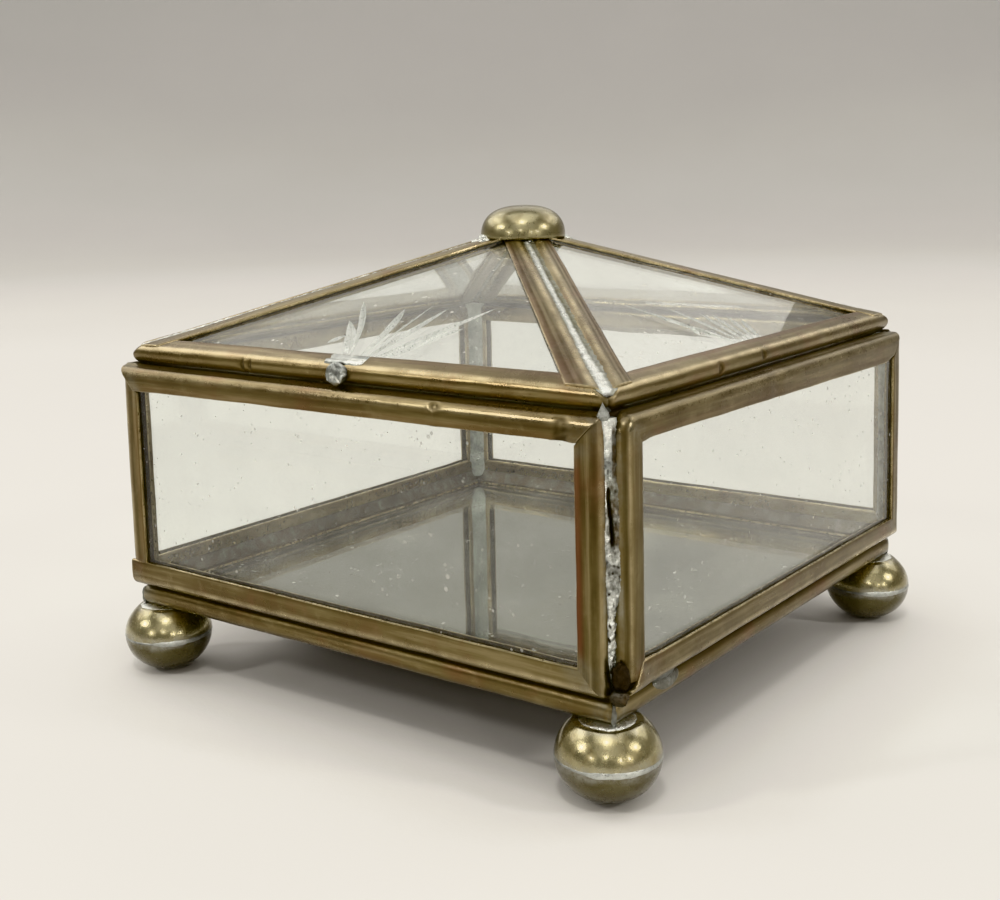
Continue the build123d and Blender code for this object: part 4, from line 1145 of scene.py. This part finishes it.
# seam between the walls and the base; its dark colour is painted shade in the groove between them
def base_seam():
    wy, wz = -WALL_MID, Z0 + R
    by, bz = -(BASE_H - R), BASE_Z
    dist = math.hypot(by - wy, bz - wz)
    ty, tz = (by - wy) / dist, (bz - wz) / dist
    ny, nz = tz, -ty
    V, F, C, S = [], [], [], []
    m = 0
    rings = []
    for k in range(4):
        n_st = 200
        for i in range(n_st):
            u = -1 + 2 * i / n_st
            out = []
            level = 0.05 + 0.10 * n1(u * 12 + k * 31, 2.2)
            tack = math.exp(-((u + 0.728) / 0.075) ** 4) if k == 1 else 0.0
            level += 0.75 * tack
            for f in (-1, -0.5, 0, 0.5, 1):
                g = level + 0.08 * n1(u * 60, f * 1.5, k * 3.3)
                half = dist / 2 - math.sqrt(max(0.0, 1.41 ** 2 - g * g)) + 0.04
                out.append((wy + ty * (dist / 2 + f * half) + ny * g, wz + tz * (dist / 2 + f * half) + nz * g, (0.52 + 0.3 * n1(u * 25, f, k)) * (1 - tack)))
            dull = 0.42 + 0.25 * n1(u * 9, k * 5.0)
            out += [(by + 0.05, bz + R + 0.02, 0.5), (by + 0.75, bz + R + 0.03, dull), (by + 0.3, bz + R + 0.75, dull), (wy + R + 0.05, wz - 0.15, dull), (wy + R - 0.02, wz - 0.45, 0.5)]
            m = len(out)
            for y, z, c in out:
                V.append(turn((u * abs(y), y, z), k))
                C.append(c)
            S += [0.9 * (1 - tack)] * 5 + [1.0] * 5
            rings.append(k)
    total = len(rings)
    for i in range(total):
        for j in range(m):
            a, b = i * m + j, i * m + (j + 1) % m
            c, d = ((i + 1) % total) * m + (j + 1) % m, ((i + 1) % total) * m + j
            F.append((a, b, c, d))
    # tack over the outside of the base came, on the right side
    def surf(s_, a_):
        a = math.radians(a_)
        n_ = (math.cos(a), 0.0, math.sin(a))
        return ((BASE_H - R) + 1.40 * n_[0], s_, BASE_Z + 1.40 * n_[2]), n_

    def height(s_, a_):
        q = math.hypot((s_ + 27.6) / (3.2 + 0.5 * n1(a_ * 0.05, 7.0)), (a_ - 40) / (62 + 9 * n1(s_ * 0.8, 3.0)))
        return -0.2 + 0.46 * (1 - smooth(0.72, 1.0, q)) + 0.05 * n1(s_ * 0.9, a_ * 0.04) + 0.02 * n1(s_ * 2.5, a_ * 0.1)
    v, f, c_ = patch(surf, -31.6, -23.6, -30.0, 96.0, 80, 44, height)
    start = len(V)
    V += v
    C += c_
    S += [0.55] * len(v)
    F += [tuple(start + i for i in face) for face in f]
    # flux that runs down in the notch at the foot of the right wall's near post; its near-black colour is painted shade
    # of the notch
    for centre_, size_, seed_, dirty in (((38.95, -38.45, 12.75), (1.12, 0.95, 0.75), 21.0, 0.50), ((39.05, -38.15, 15.0), (0.98, 0.85, 1.45), 27.0, 0.93)):
        v, f, c_ = blob(centre_, size_, seed_, 0.3, 4)
        start = len(V)
        V += v
        C += [dirty] * len(v)
        S += [1.0] * len(v)
        F += [tuple(start + i for i in face) for face in f]
    # leaf of solder down the near corner of the base came
    for sx, sy in ((1, -1), (1, 1), (-1, 1), (-1, -1)):
        v, f, c_ = blob((sx * 37.98, sy * 37.98, 10.45), (0.36, 0.36, 1.20), 22.0 + sx + 3 * sy, 0.22)
        start = len(V)
        V += v
        C += c_
        S += [0.35] * len(v)
        F += [tuple(start + i for i in face) for face in f]
    return add_mesh("base_solder_seam_bead", V, F, [M_SOLDER_TACK], attrs={"cav": C, "red": S}, replaces=("base_solder_seam",), sharp=50)


base_seam()


# -------------------------------------------------------------------- feet
FOOT_XY, FOOT_R, FOOT_H, FOOT_SEMI = 35.9, 5.9, 9.0, 5.12


def revolve_mesh(profile, centre, segs, seed, wave, top_tin=0.0, seam_tin=0.0):
    """Closed surface of revolution from (r, z) points, lightly uneven."""
    V, F, E, C, N = [], [], [], [], []
    n = len(profile)
    for j in range(segs):
        a = 2 * math.pi * j / segs
        for r, z in profile:
            w = wave * (n1(math.cos(a) * 1.2 + seed, math.sin(a) * 1.2, z * 0.3) + 0.3 * n1(math.cos(a) * 4 + seed, math.sin(a) * 4, z * 1.1))
            rr = max(0.0, r + w) if r > 0.05 else r
            V.append((centre[0] + rr * math.cos(a), centre[1] + rr * math.sin(a), centre[2] + z))
            E.append(0.0)
            C.append(0.0)
            t = 0.0
            if top_tin:
                t = max(t, top_tin * smooth(8.35 + 0.5 * n1(math.cos(a) * 2, math.sin(a) * 2, seed), 8.9, z))
            if seam_tin:
                t = max(t, seam_tin * (1 - smooth(0.25, 1.2 + 0.9 * n1(math.cos(a) * 1.5 + seed, math.sin(a) * 1.5), abs(z - 5.07))))
            N.append(t)
    for j in range(segs):
        for i in range(n):
            a, b = j * n + i, j * n + (i + 1) % n
            c, d = ((j + 1) % segs) * n + (i + 1) % n, ((j + 1) % segs) * n + i
            F.append((a, b, c, d))
    return V, F, E, C, N


def ell(a, c, zc, z0, z1, n):
    t0, t1 = math.asin(max(-1, (z0 - zc) / c)), math.asin(min(1, (z1 - zc) / c))
    return [(a * math.cos(t0 + (t1 - t0) * i / (n - 1)), zc + c * math.sin(t0 + (t1 - t0) * i / (n - 1))) for i in range(n)]


zq = 5.07
for idx, (name, (sx, sy)) in enumerate({"front_right": (1, -1), "back_right": (1, 1), "back_left": (-1, 1), "front_left": (-1, -1)}.items()):
    c = (sx * FOOT_XY, sy * FOOT_XY, 0.0)
    out_lo = ell(FOOT_R, FOOT_SEMI, zq, 0.0, zq - 0.10, 18)
    in_lo = ell(FOOT_R - 0.5, FOOT_SEMI - 0.5, zq, 0.5, zq - 0.10, 10)
    prof = [(0.02, 0.0)] + out_lo[:-1] + [(out_lo[-1][0] - 0.05, out_lo[-1][1])] + list(reversed(in_lo)) + [(0.02, 0.5)]
    V, F, E, C, N = revolve_mesh(prof, c, 72, idx * 3.0 + 1, 0.05, 0, 0.9)
    add_mesh(f"foot_{name}_lower_shell", V, F, [M_BALL_PAINTED_SHADE[idx]], attrs={"edge": E, "cav": C, "tin": N}, replaces=(f"foot_{name}_lower",), sharp=40)
    out_hi = ell(FOOT_R, FOOT_SEMI, zq, zq + 0.10, FOOT_H, 18)
    in_hi = ell(FOOT_R - 0.5, FOOT_SEMI - 0.5, zq, zq + 0.10, FOOT_H - 0.5, 10)
    prof = [(0.02, FOOT_H)] + list(reversed(out_hi))[:-1] + [(out_hi[0][0] - 0.05, out_hi[0][1])] + in_hi + [(0.02, FOOT_H - 0.5)]
    V, F, E, C, N = revolve_mesh(prof, c, 72, idx * 3.0 + 2, 0.05, 0.5, 0.7)
    add_mesh(f"foot_{name}_upper_shell", V, F, [M_BALL[idx]], attrs={"edge": E, "cav": C, "tin": N}, replaces=(f"foot_{name}_upper",), sharp=40)


def group_mesh(name, parts, mats, replaces, body="casket", sharp=50, bright=0.0):
    V, F, C, E, N = [], [], [], [], []
    for v, f, cc in parts:
        s = len(V)
        V += v
        C += cc
        F += [tuple(s + i for i in face) for face in f]
    return add_mesh(name, V, F, mats, attrs={"cav": C, "edge": [bright] * len(V)}, replaces=replaces, body=body, sharp=sharp)


rings = []
for idx, (sx, sy) in enumerate(((1, -1), (1, 1), (-1, 1), (-1, -1))):
    v, f, cc = [], [], []
    segs, m = 128, 8
    for j in range(segs):
        a = 2 * math.pi * j / segs
        ca, sa = math.cos(a), math.sin(a)
        big = 0.5 + 0.5 * n1(ca * 1.3 + idx * 5, sa * 1.3)
        az = (math.degrees(a) + 180) % 360 - 180
        show = smooth(-88 + 8 * idx, -70 + 8 * idx, az) * (1 - smooth(24, 42, az)) * (1 - 0.35 * smooth(-38, -12, az))
        hz = 0.12 + 0.08 * big + 0.24 * show + 0.07 * show * n1(ca * 6, sa * 6, idx) + 0.03 * n1(ca * 20, sa * 20, idx)
        hr = 0.05 + 0.03 * big + 0.06 * show + 0.03 * n1(ca * 9, sa * 9, idx + 3)
        for i in range(m):
            b = 2 * math.pi * i / m
            rr = FOOT_R - 0.06 + hr * math.cos(b) * (1 if math.cos(b) > 0 else 2.0)
            v.append((sx * FOOT_XY + rr * ca, sy * FOOT_XY + rr * sa, zq + 0.05 * n1(ca * 2, sa * 2, idx) + hz * math.sin(b)))
            # painted highlight over the ring's front stretch (show); darker elsewhere
            cc.append(0.55 * (1 - show) * (0.7 + 0.5 * n1(ca * 8, sa * 8, idx)))
    for j in range(segs):
        for i in range(m):
            a, b = j * m + i, j * m + (i + 1) % m
            c2, d2 = ((j + 1) % segs) * m + (i + 1) % m, ((j + 1) % segs) * m + i
            f.append((a, b, c2, d2))
    rings.append((v, f, cc))
# bright paints a highlight on the ring
group_mesh("foot_equator_solder_bead", rings, [M_SOLDER_RING], ("foot_equator_solder",), bright=0.30)

collars = []
for idx, (sx, sy) in enumerate(((1, -1), (1, 1), (-1, 1), (-1, -1))):
    v, f, cc = [], [], []
    segs = 96
    for j in range(segs):
        a = 2 * math.pi * j / segs
        ca, sa = math.cos(a), math.sin(a)
        outward = max(0.0, (ca * sx + sa * sy) * H2)             # 1 towards the outside of the corner
        reach = 3.15 + 0.38 * outward ** 3 + 0.18 * n1(ca * 1.7 + idx * 3, sa * 1.7) + 0.12 * n1(ca * 5, sa * 5, idx)
        lift = 0.34 * outward ** 2
        for part, up_ in ((0.0, "top"), (0.35, "top"), (0.60, "top"), (0.84, 0.56), (0.92, 0.42), (0.98, 0.29), (1.0, 0.15), (1.0, 0.0), (0.97, -0.12), (0.5, -0.12), (0.0, -0.12)):
            r = max(0.01, part * reach)
            surf = min(zq + FOOT_SEMI * math.sqrt(max(0.0, 1 - (min(r, 5.8) / FOOT_R) ** 2)), FOOT_H)
            if up_ == "top":
                z = 9.24 + lift * smooth(0.3, 0.75, part)
            elif up_ > 0:
                z = max(surf + 0.02, surf + (9.24 + lift - surf) * up_ + 0.05 * n1(ca * 9, sa * 9, r * 2))
            else:
                z = surf + up_
            v.append((sx * FOOT_XY + r * ca, sy * FOOT_XY + r * sa, z))
            cc.append(0.0)
    m = 11
    for j in range(segs):
        for i in range(m):
            a, b = j * m + i, j * m + (i + 1) % m
            c2, d2 = ((j + 1) % segs) * m + (i + 1) % m, ((j + 1) % segs) * m + i
            f.append((a, b, c2, d2))
    collars.append((v, f, cc))
# bright=0.85 paints the collar near white: painted light where it sits in the base's shadow
group_mesh("foot_collar_solder_bead", collars, [M_SOLDER], ("foot_collar_solder",), bright=0.85)

# ------------------------------------------------------------------ finial
CAP_R, CAP_Z, CAP_H, CAP_N = 5.85, 57.95, 4.4, 2.5


def dome(a, c, z0, n, count):
    """Half section of the cap, from its rim up to its top."""
    out = []
    for i in range(count):
        t = math.pi / 2 * i / (count - 1)
        out.append((max(0.02, a * max(0.0, math.cos(t)) ** (2 / n)), z0 + c * math.sin(t) ** (2 / n)))
    return out


out_cap = dome(CAP_R, CAP_H, CAP_Z, CAP_N, 30)
in_cap = dome(CAP_R - 0.5, CAP_H - 0.5, CAP_Z, CAP_N, 14)
prof = list(reversed(out_cap))[:-1] + [(CAP_R, CAP_Z + 0.10), (CAP_R - 0.06, CAP_Z), (CAP_R - 0.44, CAP_Z)] + in_cap[1:]
V, F, E, C, N = revolve_mesh(prof, (0.25, 0.1, 0.0), 96, 77.0, 0.04)
add_mesh("finial_cap_dome", V, F, [M_CAP], attrs={"edge": E, "cav": C, "tin": N}, replaces=("finial_cap",), body="lid", sharp=40)


# solder under the cap: a plug in the middle and bits at the rim
fin = [blob((0.2, 0.0, 58.9), (2.6, 2.6, 1.6), 1.0)]
fin += [blob((-2.6, -5.05, 57.72), (1.0, 0.85, 0.90), 2.0, 0.4), blob((-4.25, -4.25, 57.25), (1.3, 1.1, 0.58), 3.0, 0.35)]
fin += [blob((4.5, 3.7, 57.50), (1.1, 1.0, 0.62), 4.0, 0.4), blob((5.3, 4.6, 57.05), (0.9, 0.8, 0.45), 4.6, 0.4), blob((3.6, -3.3, 57.60), (0.7, 0.7, 0.5), 5.0, 0.3), blob((-3.6, 3.7, 57.45), (1.0, 0.9, 0.6), 6.0, 0.35)]
group_mesh("finial_solder_bits", fin, [M_SOLDER], ("finial_solder",), body="lid", bright=0.5)

# ---------------------------------------------------------- knob's old scar
def eave_surf(s_, q):
    """A point on the outside of the front eave came, q mm round from the lip's
    edge, and its normal."""
    if q < 1.5:
        vd, td, nv, nt_ = 2.9 - q, R, 0.0, 1.0
    else:
        a = math.pi / 2 + (q - 1.5) / R
        e_ = 2 / 2.22
        c_, s2 = math.cos(a), math.sin(a)
        vd, td, nv, nt_ = R + R * math.copysign(abs(c_) ** e_, c_), R * math.copysign(abs(s2) ** e_, s2), c_, s2
    v_ = vd - R
    return ((s_, -EAVE_Q + v_ * CA - td * SA, EAVE_Z + v_ * SA + td * CA), (0.0, nv * CA - nt_ * SA, nv * SA + nt_ * CA))


def scar_height(s_, q):
    rho = math.hypot((s_ - 0.45) / (1.58 + 0.16 * n1(q * 1.3, 2.0)), (q - 3.08) / (1.14 + 0.12 * n1(s_ * 1.2, 5.0)))
    h = -0.25
    # thin sheet over the lip
    sheet = smooth(-2.45 - 0.4 * n1(q * 1.6), -2.05 - 0.4 * n1(q * 1.6), s_) * (1 - smooth(3.50 + 0.35 * n1(q * 1.4, 8.0), 3.75 + 0.35 * n1(q * 1.4, 8.0), s_))
    low = 1.95 + 0.20 * n1(s_ * 0.8, 4.0) - 0.25 * smooth(2.3, 3.6, s_)
    sheet *= 1 - smooth(low - 0.10, low + 0.16, q)
    if sheet > 0:
        h = max(h, -0.25 + sheet * (0.38 + 0.16 * math.exp(-((q - low + 0.35) / 0.30) ** 2) + 0.03 * n1(s_ * 0.7, q * 0.8, 3.0)))
    # the stub, broken off: a rough face with a raised rim below
    if rho < 1.25:
        face = 0.72 + 0.14 * n1(s_ * 1.6, q * 1.8, 1.0) + 0.13 * n1(s_ * 3.6, q * 3.6, 2.0) + 0.06 * n1(s_ * 8.0, q * 8.0, 3.0) + 0.16 * smooth(3.0, 3.9, q)
        h = max(h, -0.25 + (face + 0.25) * (1 - smooth(0.84, 1.06, rho)))
    return h


v, f, cc = patch(eave_surf, -3.1, 4.5, -0.02, 4.6, 110, 64, scar_height, 0.3)
lit = [0.0] * len(v)
for i, (x, y, z) in enumerate(v[:len(v) // 2]):
    s_, q = -3.1 + 7.6 * (i // 65) / 110, -0.02 + 4.62 * (i % 65) / 64
    rho = math.hypot((s_ - 0.45) / 1.58, (q - 3.08) / 1.14)
    # cav paints shade in a dark ring round the stub's rim and over its upper face; lit paints highlights on the sheet's
    # ledge and speckles on the stub's lower face
    cc[i] = 0.9 * math.exp(-((rho - 1.04) / 0.13) ** 2) * (1 - 0.75 * math.exp(-((s_ - 2.0) / 0.5) ** 2 - ((q - 2.1) / 0.4) ** 2)) + 0.30 * (1 - smooth(0.6, 0.9, rho)) * (1 - smooth(3.0, 3.4, q))
    lit[i] = smooth(0.9, 1.5, s_) * (1 - smooth(3.4, 3.9, s_)) * smooth(0.5, 0.9, q) * (1 - smooth(2.2, 2.5, q)) + 0.35 * (1 - smooth(0.9, 1.5, s_)) * (1 - smooth(1.6, 1.9, q))
    lit[i] += 0.8 * (1 - smooth(0.8, 1.0, rho)) * smooth(3.1, 3.6, q) * smooth(0.0, 0.25, n1(s_ * 2.5, q * 2.5, 9.0))
add_mesh("knob_solder_scar_lump", v, f, [M_SCAR], attrs={"cav": cc, "edge": [min(1.0, max(0.0, x)) for x in lit]}, replaces=("knob_solder_scar",), body="lid", sharp=50)

# ------------------------------------------------------------------- hinge
for name, mat in (("hinge_body_leaf", M_HINGE), ("hinge_lid_leaf", M_HINGE), ("hinge_pin", M_STEEL)):
    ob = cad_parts[name]
    ob.data.materials.clear()
    ob.data.materials.append(mat)

# ------------------------------------------------------------ floor and light
def floor_material():
    n = Nodes("studio_floor")
    v = n.coords()
    base = n.mix(n.noise(9, 4.0, 0.5, v), (0.66, 0.645, 0.62), (0.70, 0.685, 0.66))
    nrm = n.bump(n.noise(900, 3.0, 0.6, v), 0.0001, 0.25)
    p = n.principled(Base_Color=base, Roughness=0.62, Normal=nrm)
    return n.finish(p.outputs[0])


def cove():
    """Floor with a wall that rises behind the box only."""
    segs = 96
    verts, faces = [(0, 0, 0)], []
    for j in range(segs):
        a = 2 * math.pi * j / segs
        back = 0.5 + 0.5 * math.cos(a - math.radians(127.5))
        wall = smooth(0.30, 0.62, back)
        verts += [(r * math.cos(a), r * math.sin(a), 0.0) for r in (0.15, 0.4, 0.8)]
        for i in range(1, 13):
            b = math.pi / 2 * i / 12
            r, z = 0.8 + 0.6 * math.sin(b), 0.6 * (1 - math.cos(b)) * wall
            verts.append((r * math.cos(a), r * math.sin(a), z))
        verts.append((1.42 * math.cos(a), 1.42 * math.sin(a), 1.3 * wall))
    m = 16
    for j in range(segs):
        k = (j + 1) % segs
        faces.append((0, 1 + j * m, 1 + k * m))
        for i in range(m - 1):
            faces.append((1 + j * m + i, 1 + j * m + i + 1, 1 + k * m + i + 1, 1 + k * m + i))
    me = bpy.data.meshes.new("studio_floor")
    me.from_pydata(verts, [], faces)
    me.polygons.foreach_set("use_smooth", [True] * len(me.polygons))
    me.materials.append(floor_material())
    ob = bpy.data.objects.new("studio_floor", me)
    bpy.context.scene.collection.objects.link(ob)
    return ob


cove()


def area(name, pos, target, size, power, color=(1, 1, 1), shape="RECTANGLE"):
    data = bpy.data.lights.new(name, "AREA")
    data.shape = shape
    data.size = size[0]
    data.size_y = size[1] if len(size) > 1 else size[0]
    data.energy = power
    data.color = color
    ob = bpy.data.objects.new(name, data)
    bpy.context.scene.collection.objects.link(ob)
    ob.location = pos
    d = Vector(target) - Vector(pos)
    ob.rotation_euler = d.to_track_quat("-Z", "Y").to_euler()
    return ob


def polar(az, el, dist):
    a, e = math.radians(az), math.radians(el)
    return (dist * math.cos(e) * math.cos(a), dist * math.cos(e) * math.sin(a), 0.03 + dist * math.sin(e))


AIM = (0, 0, 0.03)
area("overhead", polar(-52, 84, 0.95), AIM, (0.9, 0.9), 3.7, (1.0, 0.975, 0.93))
area("soft_left", polar(186, 40, 0.95), AIM, (0.75, 0.55), 2.5, (1.0, 0.97, 0.92))
area("soft_right", polar(70, 40, 0.95), AIM, (0.75, 0.55), 1.75, (1.0, 0.97, 0.92))
area("soft_front", polar(-52, 38, 1.15), AIM, (1.2, 0.55), 1.2, (1.0, 0.965, 0.91))
area("soft_back", polar(128, 38, 0.95), AIM, (0.85, 0.5), 1.05, (1.0, 0.965, 0.90))
area("strip_left", polar(-160, 44, 0.90), AIM, (0.55, 0.10), 0.40, (1.0, 0.96, 0.89))
area("strip_right", polar(55, 42, 0.90), AIM, (0.50, 0.10), 0.32, (1.0, 0.96, 0.89))
for i, (az, el) in enumerate(((-124, 31), (-60, 57), (10, 29))):
    area(f"disc_{i}", polar(az, el, 0.75), AIM, (0.085,), 1.15, (1.0, 0.965, 0.90), "DISK")
for i, (az, el) in enumerate(((-92, 16), (-60, 22), (-32, 13.5), (-13, 13.5))):
    area(f"lamp_{i}", polar(az, el, 0.75), AIM, (0.040,), 0.30, (1.0, 0.95, 0.86), "DISK")

world = bpy.data.worlds.new("studio")
bpy.context.scene.world = world
world.use_nodes = True
bg = world.node_tree.nodes["Background"]
bg.inputs["Color"].default_value = (1.0, 0.985, 0.96, 1.0)
bg.inputs["Strength"].default_value = 0.30

bpy.context.scene.view_settings.view_transform = "Khronos PBR Neutral"
bpy.context.scene.view_settings.look = "None"
bpy.context.scene.view_settings.exposure = 0.0
